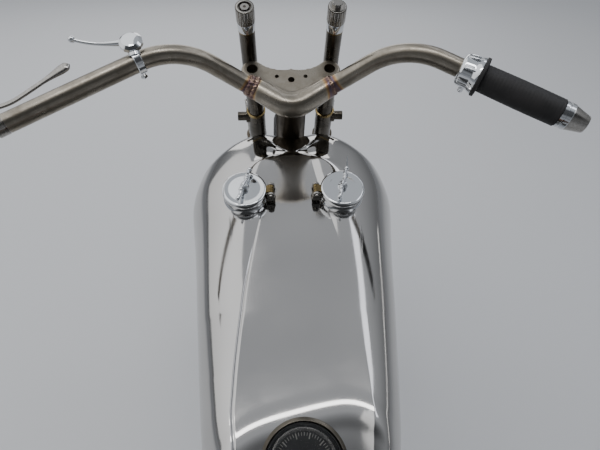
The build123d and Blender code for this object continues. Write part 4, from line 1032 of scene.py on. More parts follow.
def throttle_side():
    """Housing, flange, grip, end ring and tapered cap on the right."""
    block, start, axis, across, above = clamp_block()
    ridge = []
    for turn in np.radians([35.0, 80.0, 125.0]):
        out = np.cos(turn) * across + np.sin(turn) * above
        low = start + axis * 4.0 * MM + out * 20.6 * MM
        high = start + axis * 20.0 * MM + out * 22.4 * MM
        ridge.append(tube(np.linspace(low, high, 8), [0.8, 1.6, 1.9, 1.9, 1.9, 1.9, 1.6, 0.8], 12))
    screws = [hexagon(7.0, 0.0, 10.0, start + axis * along * MM - above * 20.0 * MM + across * aside * MM,
                      -above) for along, aside in ((7.0, 6.0), (14.0, -7.0))]
    piece("throttle_clamp", gather(block, *ridge, *screws), "chrome", "fork",
          ["throttle_housing"], sharp=40.0)
    flange = [(244.8, 12.8), (244.8, 25.2), (245.4, 26.0), (248.2, 26.0), (248.9, 25.2), (249.4, 21.5),
              (249.4, 12.8)]
    piece("grip_flange", sleeve(flange, -1), "grip", "fork", sharp=40.0)
    piece("grip_sleeve", sleeve(grip_profile(), -1), "grip", "fork", ["right_grip"],
          sharp=60.0)
    ring = [(340.9, 12.8), (340.9, 16.6), (341.4, 17.3), (344.6, 17.5), (345.0, 16.6), (346.2, 16.6),
            (346.6, 17.5), (351.4, 17.4), (352.0, 16.8), (352.0, 12.8)]
    piece("bar_end_ring", sleeve(ring, -1), "chrome", "fork", sharp=30.0)
    taper = [(351.6, 0), (351.6, 15.6), (352.2, 16.5), (369.6, 11.6), (370.8, 10.6), (371.3, 8.6), (371.3, 0)]
    piece("bar_end_cap", sleeve(taper, -1), "turned", "fork", ["right_bar_end"],
          sharp=30.0)


def thumb_lever():
    """Left thumb lever: split clamp with a bolt under it, pivot cover of twelve facets, bowed arm."""
    here = along_bar(201.0)
    band = sleeve([(196.6, 12.75), (196.6, 15.2), (197.4, 16.0), (204.4, 16.0), (205.2, 15.2),
                   (205.2, 12.75)], 1)
    _, _, above = framed(along_bar(214.0) - along_bar(198.0), FORK_UP)
    head = at_fork(206.0, -7.7, 89.4)
    lug = tube(np.linspace(here + above * 11 * MM, head - FORK_UP * 2 * MM, 10), np.linspace(8.0, 6.5, 10),
               24)
    ring = rays(circuit(12), *framed(FORK_UP)[1:])
    rows = [(-5.6, 0), (-5.6, 13.0), (-3.4, 15.2), (1.6, 15.2), (4.8, 11.4), (6.0, 6.4), (6.2, 0)]
    cover = skin(np.stack([head + FORK_UP * up * MM + ring * radius * MM for up, radius in rows]),
                 wrap_columns=True)
    tip = at_fork(280.0, -4.5, 91.0)
    control = [head + FORK_UP * -1.0 * MM, at_fork(226.0, -7.0, 87.0), at_fork(246.0, -9.5, 84.0),
               at_fork(264.0, -8.0, 88.0), tip]
    share = np.linspace(0, 1, 40)[:, None]
    weights = [(1 - share) ** 4, 4 * share * (1 - share) ** 3, 6 * share ** 2 * (1 - share) ** 2,
               4 * share ** 3 * (1 - share), share ** 4]
    path = sum(weight * np.asarray(point) for weight, point in zip(weights, control))
    arm = tube(path, 4.6 - 2.3 * eased(np.linspace(0, 1, 40) / 0.55), 20)
    under = here - above * 15.5 * MM
    bolt = gather(turned([(-3, 0), (-3, 4.2), (9, 4.2), (9, 0)], under, -above, 24),
                  hexagon(9.0, 9.0, 13.0, under, -above))
    shell = gather(band, lug, cover, arm, ball(tip, 4.6, 24), bolt)
    piece("thumb_lever", shell, "chrome", "fork", ["left_thumb_lever"], sharp=22.0)


def bar_end_lever():
    """Lever pivoted in the bar's left end: a plugged knuckle and a blade that swells to a flat drop."""
    plug = sleeve([(351.7, 0), (351.7, 12.7), (352.1, 12.2), (353.0, 12.2), (353.5, 13.0), (364.0, 13.0),
                   (366.2, 11.0), (366.6, 0)], 1)
    points = np.array([(374.0, -92.4, 66.3), (352.0, -84.0, 67.2), (336.0, -71.1, 68.8), (312.0, -52.5, 72.5),
                       (284.0, -32.0, 77.0)])
    blade = in_fork(rounded_path(points, (60.0, 60.0, 60.0), 2.0))
    share = np.linspace(0, 1, len(blade))
    swell = 3.6 + 3.2 * np.clip((share - 0.62) / 0.25, 0, 1) ** 1.5
    swell *= np.sqrt(np.clip((1.0 - share) / 0.05, 0.02, 1))
    oval = circle(1.0, 24) * (1.0, 0.55)
    drop = carried(oval, blade, FORK_UP, scale=swell)
    turn = rounded_path([(366.0, -120.0, 66.3), (378.0, -112.0, 66.3), (374.0, -92.4, 66.3)], (6.0,), 1.0)
    knuckle = tube(in_fork(turn), 5.6, 24)
    piece("lever_blade", gather(plug, drop, knuckle), "turned", "fork", ["bar_end_lever"],
          sharp=35.0)


class MOTO_OT_bar(bpy.types.Operator):
    """Make the handlebar's tube, the throttle side and the two levers"""
    bl_idname = "moto.bar"
    bl_label = "Handlebar"

    def execute(self, context):
        piece("bar_tube", tube(bar_path(step=3.0), BAR_RADIUS, 48), "tinted", "fork",
              ["handlebar"])
        throttle_side()
        thumb_lever()
        bar_end_lever()
        return {"FINISHED"}


# Filler caps

def cap_frame(side):
    """Middle, across, rearward and upward directions of a filler cap."""
    up = np.array([0.0, sin(CAP_LEAN), cos(CAP_LEAN)])
    return CAP * (side, 1, 1) * MM, np.array([1.0, 0, 0]), np.array([0.0, cos(CAP_LEAN), -sin(CAP_LEAN)]), up


def at_cap(side, x, y, z):
    """Point of a filler cap from millimetres across, rearward and upward."""
    middle, across, back, up = cap_frame(side)
    return middle + (across * x + back * y + up * z) * MM


def cap_lid(side):
    """Lid with a thick rolled rim, a turned knob and a twisted bar with balls to open it by."""
    middle, across, back, up = cap_frame(side)
    disc = turned([(16.4, 0), (16.4, 30.0), (16.9, 31.0), (18.2, 31.5), (23.0, 31.5), (24.6, 30.9),
                   (25.4, 29.6), (25.5, 28.0), (25.2, 26.6), (25.4, 20.0), (25.6, 10.0), (25.7, 0)], middle,
                  up, 96)
    knob = turned([(25.0, 0), (25.0, 6.6), (27.0, 6.9), (28.6, 5.0), (31.0, 4.4), (33.2, 5.2), (34.6, 4.2),
                   (35.2, 0)], middle, up, 32)
    share = np.linspace(0, 1, 60)
    path = np.stack([at_cap(side, -7.5 * (1 - 2 * s) + 1.0 * sin(4 * np.pi * s), -27 + 52 * s,
                            34.2 + 1.2 * sin(np.pi * s)) for s in share])
    wire = tube(path, 2.3 + 0.5 * np.sin(share * np.pi * 7) ** 2, 16, up)
    balls = [ball(path[number], size) for number, size in ((0, 3.6), (20, 3.5), (42, 3.5), (-1, 3.2))]
    if side < 0:
        spike = np.linspace(path[0], path[0] + (up * 15 - back * 9) * MM, 8)
        balls.append(tube(spike, np.linspace(1.8, 0.8, 8), 12, across))
    hinge = []
    for fore in (-4.6, 0.0, 4.6):
        hinge.append(turned([(-1.9, 2.2), (-1.9, 4.3), (1.9, 4.3), (1.9, 2.2)],
                            at_cap(side, -side * HINGE_IN, fore, 20.0), back, 24, loop=True))
    strap_rows = np.array([(-side * 29.0, 21.2), (-side * 33.0, 22.6), (-side * HINGE_IN, 24.2)])
    strap = carried(np.array([(-6.2, -1.3), (6.2, -1.3), (6.2, 1.3), (-6.2, 1.3)]),
                    np.stack([at_cap(side, x, 0, z) for x, z in strap_rows]), up)
    return disc, gather(knob, wire, *balls), gather(strap, *hinge)


def cap_neck(side):
    """Fixed collar with a bead at its foot, and its hinge ears."""
    middle, _, back, up = cap_frame(side)
    collar = turned([(-14.0, 29.5), (2.6, 29.6), (3.6, 30.6), (5.2, 31.2), (6.6, 30.8), (7.6, 29.8),
                     (8.4, 29.4), (15.2, 29.4), (15.4, 30.4), (16.0, 30.2), (16.0, 20.0), (-14.0, 20.0)],
                    middle, up, 96, loop=True)
    ears = []
    outline = np.concatenate([[(-6.5, 0.0), (6.5, 0.0)], arc((0.0, 9.0), 5.0, 0, 180, 14)])
    for fore in (-9.0, 9.0):
        ears.append(slab(outline, fore - 1.9, fore + 1.9, lambda rows: np.stack(
            [at_cap(side, -side * HINGE_IN + x, level, 11.0 + z) for x, z, level in rows]), 0.5))
    floor = slab(np.array([(-7, -11), (7, -11), (7, 11), (-7, 11)]), 9.0, 12.2,
                 lambda rows: np.stack([at_cap(side, -side * 36.5 + x, y, z) for x, y, z in rows]), 0.5)
    pin = turned([(-12.6, 0), (-12.6, 2.9), (-11.4, 3.2), (-11.2, 2.0), (11.2, 2.0), (11.4, 3.2), (12.6, 2.9),
                  (12.6, 0)], at_cap(side, -side * HINGE_IN, 0, 20.0), back, 24)
    return collar, gather(*ears, floor), pin


class MOTO_OT_caps(bpy.types.Operator):
    """Make the two hinged filler caps and their necks"""
    bl_idname = "moto.caps"
    bl_label = "Filler caps"

    def execute(self, context):
        collars, pins, ears = [], [], []
        for name, side in (("left", 1), ("right", -1)):
            disc, handle, strap = cap_lid(side)
            piece(f"{name}_cap_lid", disc, "chrome", f"{name}_cap", [f"{name}_filler_cap"],
                  sharp=30.0)
            piece(f"{name}_cap_bar", handle, "chrome", f"{name}_cap", sharp=30.0)
            piece(f"{name}_cap_strap", strap, "brass", f"{name}_cap", sharp=30.0)
            collar, ear, pin = cap_neck(side)
            collars.append(collar)
            ears.append(ear)
            pins.append(pin)
        piece("filler_collars", gather(*collars), "chrome", "frame", ["filler_necks"],
              sharp=30.0)
        piece("cap_hinge_ears", gather(*ears), "turned", "frame", sharp=30.0)
        piece("cap_hinge_pins", gather(*pins), "turned", "frame", sharp=30.0)
        return {"FINISHED"}


# Instrument

def dial_marks():
    """Ticks round the dial: thirty-six short and ten long."""
    axis, across, above = framed(DIAL_AXIS, (0, -1, 0))
    shells = []
    for number in range(46):
        angle = DIAL_ZERO - radians(number * 6.0)
        inner, outer, half = (27.0, 30.5, 0.3) if number % 5 else (24.5, 30.5, 0.55)
        out = cos(angle) * across + sin(angle) * above
        aside = -sin(angle) * across + cos(angle) * above
        corners = [out * r + aside * w
                   for r, w in ((inner, -half), (outer, -half), (outer, half), (inner, half))]
        grid = np.stack([[DIAL + (corner + axis * level) * MM for corner in corners]
                         for level in (-11.9, -11.6)])
        points, faces = skin(grid, wrap_columns=True)
        shells.append((points, faces.tolist() + [[3, 2, 1, 0], [4, 5, 6, 7]]))
    return gather(*shells)


class MOTO_OT_dial(bpy.types.Operator):
    """Make the instrument in the tank's rear slope"""
    bl_idname = "moto.dial"
    bl_label = "Instrument"

    def execute(self, context):
        bezel = turned([(-20.0, 41.0), (-2.0, 41.0), (-2.0, 44.6), (0.0, 45.2), (2.6, 45.2), (3.2, 44.6),
                        (3.4, 43.6), (4.2, 42.8), (4.5, 41.6), (2.6, 40.4), (-20.0, 40.0)], DIAL, DIAL_AXIS,
                       120, loop=True)
        piece("dial_bezel", bezel, "dark", "frame", ["instrument"], sharp=40.0)
        cup = turned([(-22.0, 0), (-22.0, 39.9), (1.4, 39.9), (1.4, 38.6), (-8.0, 37.4), (-12.0, 36.9),
                      (-12.0, 0)], DIAL, DIAL_AXIS, 96)
        piece("dial_cup", cup, "enamel", "frame", sharp=30.0)
        ring = turned([(-11.9, 31.6), (-10.2, 32.0), (-9.6, 33.4), (-9.8, 35.4), (-11.9, 36.6)], DIAL,
                      DIAL_AXIS, 96, loop=True)
        piece("dial_ring", ring, "turned", "frame", sharp=40.0)
        axis, across, above = framed(DIAL_AXIS, (0, -1, 0))
        out = cos(DIAL_ZERO) * across + sin(DIAL_ZERO) * above
        length = np.linspace(-7, 26, 12)[:, None]
        needle = tube(DIAL + (axis * -9.2 + out * length) * MM, np.linspace(1.4, 0.4, 12), 12, up=DIAL_AXIS)
        hub = turned([(-11.9, 4.2), (-8.6, 4.2), (-7.8, 3.2), (-7.8, 0)], DIAL, DIAL_AXIS, 32)
        piece("dial_marks", gather(dial_marks(), needle, hub), "print", "frame", sharp=30.0)
        glass = turned([(-0.4, 0), (-0.4, 38.4), (0.8, 38.4), (0.8, 0)], DIAL, DIAL_AXIS, 96)
        piece("dial_glass", glass, "glass", "frame", sharp=30.0)
        return {"FINISHED"}


# Wheels

def tyre_shell(radius, width, rim, depth):
    """Tyre: straight beads, full side walls with two fine ribs, and a crowned tread cut by zigzag
    grooves round it and slots across its edges."""
    tall = radius - rim
    share = np.array([(0.0, 0.68), (0.13, 0.68), (0.25, 0.89), (0.36, 0.97), (0.48, 1.0), (0.62, 0.985),
                      (0.74, 0.95), (0.84, 0.84), (0.91, 0.70), (0.97, 0.46), (1.0, 0.20), (1.0, 0.0)])
    half = np.stack([rim + share[:, 0] * tall, share[:, 1] * width / 2], -1)
    outline = np.concatenate([half, half[-2::-1] * (1, -1)])
    outline = sampled(outline, np.linspace(0, travelled(outline)[-1], 110))
    outline[1:-1] = bell(outline, 1.2)[1:-1]
    around = circuit(TREAD_PITCHES * 8)[:, None]
    reach, across = outline[:, 0][None], outline[:, 1][None]
    tread = eased((reach - rim - 0.80 * tall) / (0.06 * tall))
    phase = around * TREAD_PITCHES / (2 * np.pi)
    zigzag = 0.045 * width * np.abs(2 * (phase % 1) - 1)
    lines = [np.exp(-((across - place * width - zigzag) / 1.5) ** 4) for place in (-0.24, -0.02, 0.20)]
    slots = np.exp(-(((phase % 1) - 0.5) / 0.13) ** 4) * eased((np.abs(across) - 0.33 * width) / 2)
    cut = np.clip(sum(lines) + slots, 0, 1) * tread * depth
    ribs = sum(np.exp(-((reach - rim - place * tall) / 1.1) ** 2) for place in (0.2, 0.68))
    ribs = 0.7 * ribs * (1 - tread)
    out = reach - cut
    wide = across + np.sign(across) * (ribs - 0.7)
    grid = np.stack([wide + 0 * around, out * np.cos(around), out * np.sin(around)], -1)
    return grid * MM


class MOTO_OT_wheels(bpy.types.Operator):
    """Make the two tyres and their valves"""
    bl_idname = "moto.wheels"
    bl_label = "Wheels"

    def execute(self, context):
        depth = context.scene.moto_machine.tread_depth / MM
        for name, (middle, radius, width, rim) in WHEELS.items():
            middle = np.array(middle) * MM
            shell = skin(tyre_shell(radius, width, rim, depth) + middle, wrap_rows=True, wrap_columns=True)
            piece(f"{name}_tread", shell, "tyre", f"{name}_wheel", [f"{name}_tyre"],
                  sharp=40.0)
            out = np.array([0.0, sin(VALVE_TURN), -cos(VALVE_TURN)])
            valve = turned([(rim - 46, 0), (rim - 46, 2.6), (rim - 36, 2.6), (rim - 35, 3.6), (rim - 16, 3.6),
                            (rim - 14, 5.5), (rim - 10, 5.5), (rim - 10, 0)], middle, out, 16)
            piece(f"{name}_valve", valve, "turned", f"{name}_wheel")
        return {"FINISHED"}


# Saddle

def saddle_edge(hide):
    """The hide's widest line, in metres: its furthest point in each direction in plan, smoothed
    round the loop."""
    places = vertices(hide)
    offset = places[:, :2] - SADDLE_MIDDLE
    turn = np.arctan2(offset[:, 1], offset[:, 0]) / (2 * np.pi) + 0.5
    sector = (turn * EDGE_SECTORS).astype(int) % EDGE_SECTORS
    order = np.argsort(np.hypot(offset[:, 0], offset[:, 1]))
    furthest = np.zeros(EDGE_SECTORS, int)
    furthest[sector[order]] = order
    return bell(np.tile(places[furthest], (3, 1)), 2.0)[EDGE_SECTORS:2 * EDGE_SECTORS]


def even(path, step):
    """Evenly spaced points round a closed path in metres, about one step of millimetres apart."""
    closed = np.concatenate([path, path[:1]])
    length = travelled(closed)[-1]
    return sampled(closed, np.linspace(0, length, int(length / (step * MM)), endpoint=False))


def padded_saddle(swell):
    """Leather blown up from inside: the node's mesh, made a little flatter, is remeshed, swollen as
    cloth under pressure, held to a furthest movement in metres and smoothed."""
    node = NODES["saddle"]
    pad = bpy.data.objects.new("saddle_hide", node.data.copy())
    bpy.context.scene.collection.objects.link(pad)
    work = bmesh.new()
    work.from_mesh(pad.data)
    bmesh.ops.remove_doubles(work, verts=work.verts, dist=1e-5)
    bmesh.ops.recalc_face_normals(work, faces=work.faces)
    work.to_mesh(pad.data)
    work.free()
    middle = vertices(pad).mean(0)
    places = middle + (vertices(pad) - middle) * DEFLATED
    pad.data.vertices.foreach_set("co", places.ravel())
    shaped(pad, "REMESH", mode="VOXEL", voxel_size=5 * MM)
    shaped(pad, "SMOOTH", factor=0.5, iterations=6)
    start = vertices(pad)
    cloth = pad.modifiers.new("pressure", "CLOTH")
    cloth.settings.quality = 5
    cloth.settings.use_pressure = True
    cloth.settings.uniform_pressure_force = PRESSURE
    cloth.settings.effector_weights.gravity = 0.0
    for number in range(1, SWELL_FRAMES + 1):
        bpy.context.scene.frame_set(number)
    swollen = pad.evaluated_get(bpy.context.evaluated_depsgraph_get())
    ends = np.empty(len(start) * 3)
    swollen.data.vertices.foreach_get("co", ends)
    pad.modifiers.clear()
    bpy.context.scene.frame_set(1)
    move = ends.reshape(-1, 3) - start
    length = np.linalg.norm(move, axis=1)[:, None]
    move *= np.minimum(1, swell / np.maximum(length, 1e-9))
    # The lowest 14 mm, which the springs and the frame hold, are hardly let move
    low = eased((start[:, 2:] - start[:, 2].min()) / (14 * MM))
    pad.data.vertices.foreach_set("co", (start + move * (0.2 + 0.8 * low)).ravel())
    shaped(pad, "SUBSURF", levels=1, render_levels=1)
    pad.data.materials.clear()
    pad.data.materials.append(FINISHES["hide"])
    pad.data.polygons.foreach_set("use_smooth", [True] * len(pad.data.polygons))
    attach(pad, "frame")
    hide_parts("saddle")
    return pad


def stitch_row(edge, surface):
    """Stitches in a row just inside the hide's edge, laid on its surface."""
    inward = (SADDLE_MIDDLE - edge[:, :2]) * 0.05
    above = even(edge + np.column_stack([inward, np.full(len(edge), 0.008)]), 6.5)
    found = [surface.find_nearest(Vector(point)) for point in above]
    row = np.array([hit[0] + hit[1] * 0.0002 for hit in found])
    run = np.roll(row, -1, 0) - row
    return gather(*[tube(np.linspace(point, point + 0.62 * ahead, 4), [0.3, 0.75, 0.75, 0.3], 6)
                    for point, ahead in zip(row, run)])


def hide_rivets(surface):
    """Domed rivets square to the hide, in pairs but for those on the middle line."""
    shells = []
    for x, y in RIVETS:
        for side in ((1, -1) if x else (1,)):
            spot, out, _, _ = surface.find_nearest(Vector((side * x * MM, y * MM, 0.8)))
            shells.append(turned([(-1.5, 4.4), (0.6, 4.4), (1.4, 3.4), (1.9, 1.8), (2.1, 0)],
                                 np.array(spot), np.array(out), 20))
    return gather(*shells)


def seat_springs():
    """A coil on each side between two seats, and the pivot block in the middle, in the box of the
    node that they stand for."""
    places = vertices(NODES["saddle_springs"])
    outer = np.abs(places[:, 0]) > 0.06
    foot, top = places[outer].min(0), places[outer].max(0)
    off, coil, wire, count = SEAT_SPRING
    turns = np.linspace(0, 2 * np.pi * count, 260)
    rise = np.linspace(foot[2] + 3.4 * MM, top[2] - 3.4 * MM, len(turns))
    shells = []
    for side in (1, -1):
        x, y = side * off * MM, (foot[1] + top[1]) / 2
        path = np.stack([x + coil * MM * np.cos(turns), y + coil * MM * np.sin(turns), rise], -1)
        shells.append(tube(path, wire, 12))
        shells += [turned([(0, 0), (0, 17.5), (2.0, 17.5), (2.0, 0)], (x, y, level), (0, 0, 1), 32)
                   for level in (foot[2], top[2] - 2.0 * MM)]
    low, high = places[~outer].min(0) / MM, places[~outer].max(0) / MM
    box = np.array([(low[0], low[1]), (high[0], low[1]), (high[0], high[1]), (low[0], high[1])])
    return gather(*shells, slab(box, low[2], high[2], in_metres, 1.5))


class MOTO_OT_saddle(bpy.types.Operator):
    """Make the saddle's hide, its welt, stitches and rivets, and the coil springs under it"""
    bl_idname = "moto.saddle"
    bl_label = "Saddle"

    def execute(self, context):
        hide = padded_saddle(context.scene.moto_machine.saddle_swell)
        surface = BVHTree.FromPolygons(vertices(hide).tolist(),
                                       [tuple(face.vertices) for face in hide.data.polygons])
        edge = saddle_edge(hide)
        welt = carried(circle(3.0, 12), even(edge, 4.0), closed=True)
        piece("saddle_welt", welt, "hide", "frame")
        piece("saddle_stitches", stitch_row(edge, surface), "thread", "frame")
        piece("saddle_coils", seat_springs(), "dark", "frame", ["saddle_springs"])
        piece("saddle_rivets", hide_rivets(surface), "brass", "frame")
        return {"FINISHED"}


# Engine

def bolts(places, axis, flats=10.0, tall=6.0, washer=1.5):
    """Hexagon heads on washers at places in millimetres."""
    shells = []
    for place in places:
        place = np.asarray(place, float) * MM
        shells.append(turned([(-1.0, 0), (-1.0, 0.68 * flats), (washer, 0.68 * flats), (washer, 0)], place,
                             axis, 24))
        shells.append(hexagon(flats, washer - 0.1, tall, place, axis))
    return shells


def in_bore(side, x, across, along):
    """Point of a leaning cylinder's frame, in millimetres: side is -1 in front and 1 behind."""
    return CRANK + (x, across * cos(VEE) + along * side * sin(VEE),
                    along * cos(VEE) - across * side * sin(VEE))


def on_chest(rows):
    """Places on the timing chest's outer face, from rows of (y, z, level) about the crankshaft."""
    return np.stack([-96.0 - rows[:, 2], CRANK[1] + rows[:, 0], CRANK[2] + rows[:, 1]], -1) * MM


def chest_trim():
    """Cover plate, two gear bosses and screws on the timing chest."""
    outline = np.array([(-86, -46), (86, -46), (55, 64), (72, 86), (-72, 86), (-55, 64)], float)
    shells = [slab(outline, -1.0, 5.0, on_chest, 2.0)]
    face = (-1.0, 0.0, 0.0)
    for y, z, radius in ((-32, 12, 27), (32, 12, 27), (0, -20, 19)):
        spot = np.array([-100.0, CRANK[1] + y, CRANK[2] + z]) * MM
        shells.append(turned([(0, radius), (5, radius - 1), (7, radius - 4), (7.6, radius - 9), (7.6, 0)],
                             spot, face, 48))
    spots = [(-101, CRANK[1] + y, CRANK[2] + z)
             for y, z in ((-78, -38), (-40, -39), (0, -41), (40, -39), (78, -38), (62, 10), (-62, 10),
                          (52, 56), (-52, 56), (62, 78), (-62, 78), (0, 78))]
    return gather(*shells), gather(*bolts(spots, face, 8.0, 5.0))


def primary_trim():
    """Shaft dome, clutch ring and screws on the primary case."""
    face = (1.0, 0.0, 0.0)
    dome = turned([(-1, 46), (3, 45), (7, 38), (10, 24), (11, 0)], np.array([124.0, CRANK[1], CRANK[2]]) * MM,
                  face, 64)
    ring = turned([(-1, 62), (2.6, 61), (4, 58), (4, 46), (1.5, 43), (1.5, 0)],
                  np.array([136.0, GEAR_Y, CRANK[2]]) * MM, face, 64)
    turn = np.radians([60, 95, 130, 165, 200, 235, 270, 300])
    spots = [(124, CRANK[1] + 83 * cos(a), CRANK[2] + 83 * sin(a)) for a in turn if cos(a) < 0.2]
    spots += [(124, GEAR_Y - 83 * cos(a), CRANK[2] + 83 * sin(a)) for a in turn if cos(a) < 0.2]
    spots += [(124, y, CRANK[2] + z) for y in (95, 170) for z in (83, -83)]
    inner = [(137.5, GEAR_Y + 34 * cos(a), CRANK[2] + 34 * sin(a)) for a in circuit(5)]
    return gather(dome, ring), gather(*bolts(spots, face, 9.0, 5.5), *bolts(inner, face, 7.0, 4.5))


def top_end_trim():
    """Rocker nuts, push-rod collars and spark plugs."""
    nuts, collars, bodies, cores = [], [], [], []
    for side in (-1, 1):
        bore = np.array([0.0, side * sin(VEE), cos(VEE)])
        nuts += bolts([in_bore(side, x, 0, 348.4) for x in (-26, 26)], bore, 15.0, 7.0)
        for across in (-13, 13):
            for along in (92, 296):
                spot = in_bore(side, -77.0, across, along) * MM
                collars.append(turned([(0, 6.9), (0, 9.6), (1.5, 10.6), (13, 10.6), (14.5, 9.6), (14.5, 6.9)],
                                      spot, bore, 32, loop=True))
        start = in_bore(side, 50.0, side * 6, 268.0) * MM
        out = unit(np.array([1.0, 0.0, 0.35]))
        bodies.append(hexagon(20.0, 14.0, 24.0, start, out))
        bodies.append(turned([(44, 0), (44, 3.2), (52, 3.2), (53, 2.4), (53, 0)], start, out, 20))
        cores.append(turned([(22, 0), (22, 7.2), (30, 6.4), (31, 5.4), (36, 5.2), (37, 4.6), (44, 4.4),
                             (44.5, 0)], start, out, 28))
    return gather(*nuts), gather(*collars), gather(*bodies), gather(*cores)


class MOTO_OT_engine(bpy.types.Operator):
    """Make the covers, nuts, collars and plugs of the engine and gearbox"""
    bl_idname = "moto.engine"
    bl_label = "Engine"

    def execute(self, context):
        cover, screws = chest_trim()
        piece("timing_cover", cover, "aluminium", "frame")
        case, more = primary_trim()
        piece("primary_covers", case, "aluminium", "frame")
        nuts, collars, bodies, cores = top_end_trim()
        right, up = (-1.0, 0.0, 0.0), (0.0, 0.0, 1.0)
        bell_mouth = turned([(-2, 33.0), (0, 35.5), (8, 36.5), (20, 36.5), (23, 35.0), (24.5, 31.0),
                             (24.5, 12), (21, 10), (21, 0)], np.array([-103.0, CRANK[1], 554.0]) * MM, right,
                            64)
        bowl = turned([(-1, 20.0), (0, 21.2), (3, 21.2), (4, 20.0)], np.array([-74.0, CRANK[1], 508.0]) * MM,
                      up, 48)
        piece("intake_trim", gather(bell_mouth, bowl), "chrome", "frame")
        lid = slab(np.array([(-46, GEAR_Y - 44), (46, GEAR_Y - 44), (46, GEAR_Y + 38), (-46, GEAR_Y + 38)]),
                   401.0, 408.0, in_metres, 2.5)
        piece("gearbox_lid", lid, "aluminium", "frame")
        corners = [(x, GEAR_Y + y, 407.5) for x in (-38, 38) for y in (-36, -3, 30)]
        fasteners = gather(screws, more, nuts, *bolts(corners, up, 9.0, 5.5))
        piece("engine_fasteners", fasteners, "turned", "frame", sharp=30.0)
        piece("pushrod_collars", collars, "chrome", "frame", sharp=30.0)
        piece("plug_bodies", bodies, "turned", "frame", sharp=30.0)
        piece("plug_cores", cores, "ceramic", "frame", sharp=30.0)
        return {"FINISHED"}


# Frame joints, exhaust, mudguard and fittings

def ripple_ring(centre, axis, radius, bead=3.0, ripples=26):
    """Round weld bead about a tube: a ring whose thickness swells once for each ripple."""
    axis, across, above = framed(axis)
    turn = circuit(ripples * 6)
    ring = rays(turn, across, above)
    size = bead * (0.8 + 0.2 * np.abs(np.sin(turn * ripples / 2)))
    wave = 0.6 * np.sin(turn * 3)
    section = circuit(8)
    tall = radius + np.sin(section)[None] * size[:, None]
    wide = np.cos(section)[None] * size[:, None] + wave[:, None]
    grid = np.asarray(centre) + (ring[:, None] * tall[..., None] + axis * wide[..., None]) * MM
    return skin(grid, wrap_rows=True, wrap_columns=True)


def frame_welds():
    """Beads where the frame's tubes meet."""
    neck, down = at_fork(0, 0, -142), at_fork(0, 0, -118)
    joint, foot, post = SEAT_JOINT * MM, DOWN_FOOT * MM, POST_FOOT * MM
    rows = [(neck, joint, 33.0, 20.4), (down, foot, 38.0, 19.4), (joint, post, 24.0, 15.4),
            (post, joint, 18.0, 15.4)]
    shells = []
    for start, end, along, radius in rows:
        run = unit(end - start)
        shells.append(ripple_ring(start + run * along * MM, run, radius))
    for side in (1, -1):
        plate = REAR_AXLE + (side * PLATE_OUT, 0.0, 0.0)
        for spot, tube_end, radius in (((-52, -28), RAIL_START, 14.6), ((-52, 34), STAY_START, 12.0)):
            start = plate + (0.0, *spot)
            run = unit((0.0, tube_end[0] - start[1], tube_end[1] - start[2]))
            shells.append(ripple_ring((start + run * 26) * MM, run, radius, 2.4))
    return gather(*shells)


def guard_edges():
    """Rolled edges of the mudguard, and a raised bead along its crown."""
    angle = np.radians(np.linspace(*GUARD_SPAN, 120))
    shells = []
    for x, radius, thick in GUARD_EDGES:
        path = (REAR_AXLE + np.stack([0 * angle + x, radius * np.cos(angle), radius * np.sin(angle)],
                                     -1)) * MM
        shells.append(tube(path, thick, 12, up=(1, 0, 0)))
    return gather(*shells)


def oil_straps():
    """Two straps round the oil tank and its filler cap, in the seat post's lean."""
    post = unit(POST_FOOT - SEAT_JOINT)
    middle = SEAT_JOINT + post * OIL_DOWN
    wide, deep = OIL_CORNER
    _, across, above = framed(post, (1, 0, 0))
    corner = np.concatenate([arc((sx * wide, sy * deep), OIL_ROUND, start, start + 90, 8) for sx, sy, start in
                             ((1, 1, 0), (-1, 1, 90), (-1, -1, 180), (1, -1, 270))])
    straps = []
    for along in (-STRAP_OFF, STRAP_OFF):
        path = (middle + post * along + corner[:, :1] * above + corner[:, 1:] * across) * MM
        straps.append(carried(np.array([(-0.8, -8), (0.8, -8), (0.8, 8), (-0.8, 8)]), path, post,
                              closed=True))
    cap = turned([(-2, 18.5), (0, 18.5), (1, 20), (9, 20), (11, 18), (11.5, 8), (11.5, 0)],
                 (middle - post * OIL_FILLER[0] + above * OIL_FILLER[1]) * MM, -post, 48)
    return gather(*straps), cap


def exhaust_trim():
    """Clamps, cone and tail of the silencer, on its own line."""
    start, end = SILENCER
    run = unit(end - start)
    cone = turned([(-34, 20.4), (-6, 34), (1, 38.2), (3, 38.4), (5, 38.2), (5, 20.4)], start * MM, run, 56,
                  loop=True)
    clamp = turned([(-52, 20.2), (-52, 22.4), (-38, 22.4), (-38, 20.2)], start * MM, run, 48, loop=True)
    bands = [turned([(a, 37.8), (a, 39.2), (a + 14, 39.2), (a + 14, 37.8)], start * MM, run, 56, loop=True)
             for a in (96, 300)]
    length = np.linalg.norm(end - start)
    tail = turned([(-2, 38.2), (1, 38.0), (8, 32), (13, 19), (15, 17.6), (34, 17.6), (34, 15.6), (-1, 15.6),
                   (-1, 0), (-2, 0)], (start + run * length) * MM, run, 56)
    return gather(cone, clamp, *bands, tail)


def ribbed(length, radius, depth, pitch):
    """Profile of a round rubber with ribs across it, in millimetres."""
    x = np.linspace(0, length, round(length * 1.6) + 1)
    ribs = radius - depth * (np.sin(x * 2 * np.pi / pitch) > 0.35)
    return np.concatenate([[(0, 0)], np.column_stack([x, ribs]), [(length, 0)]])


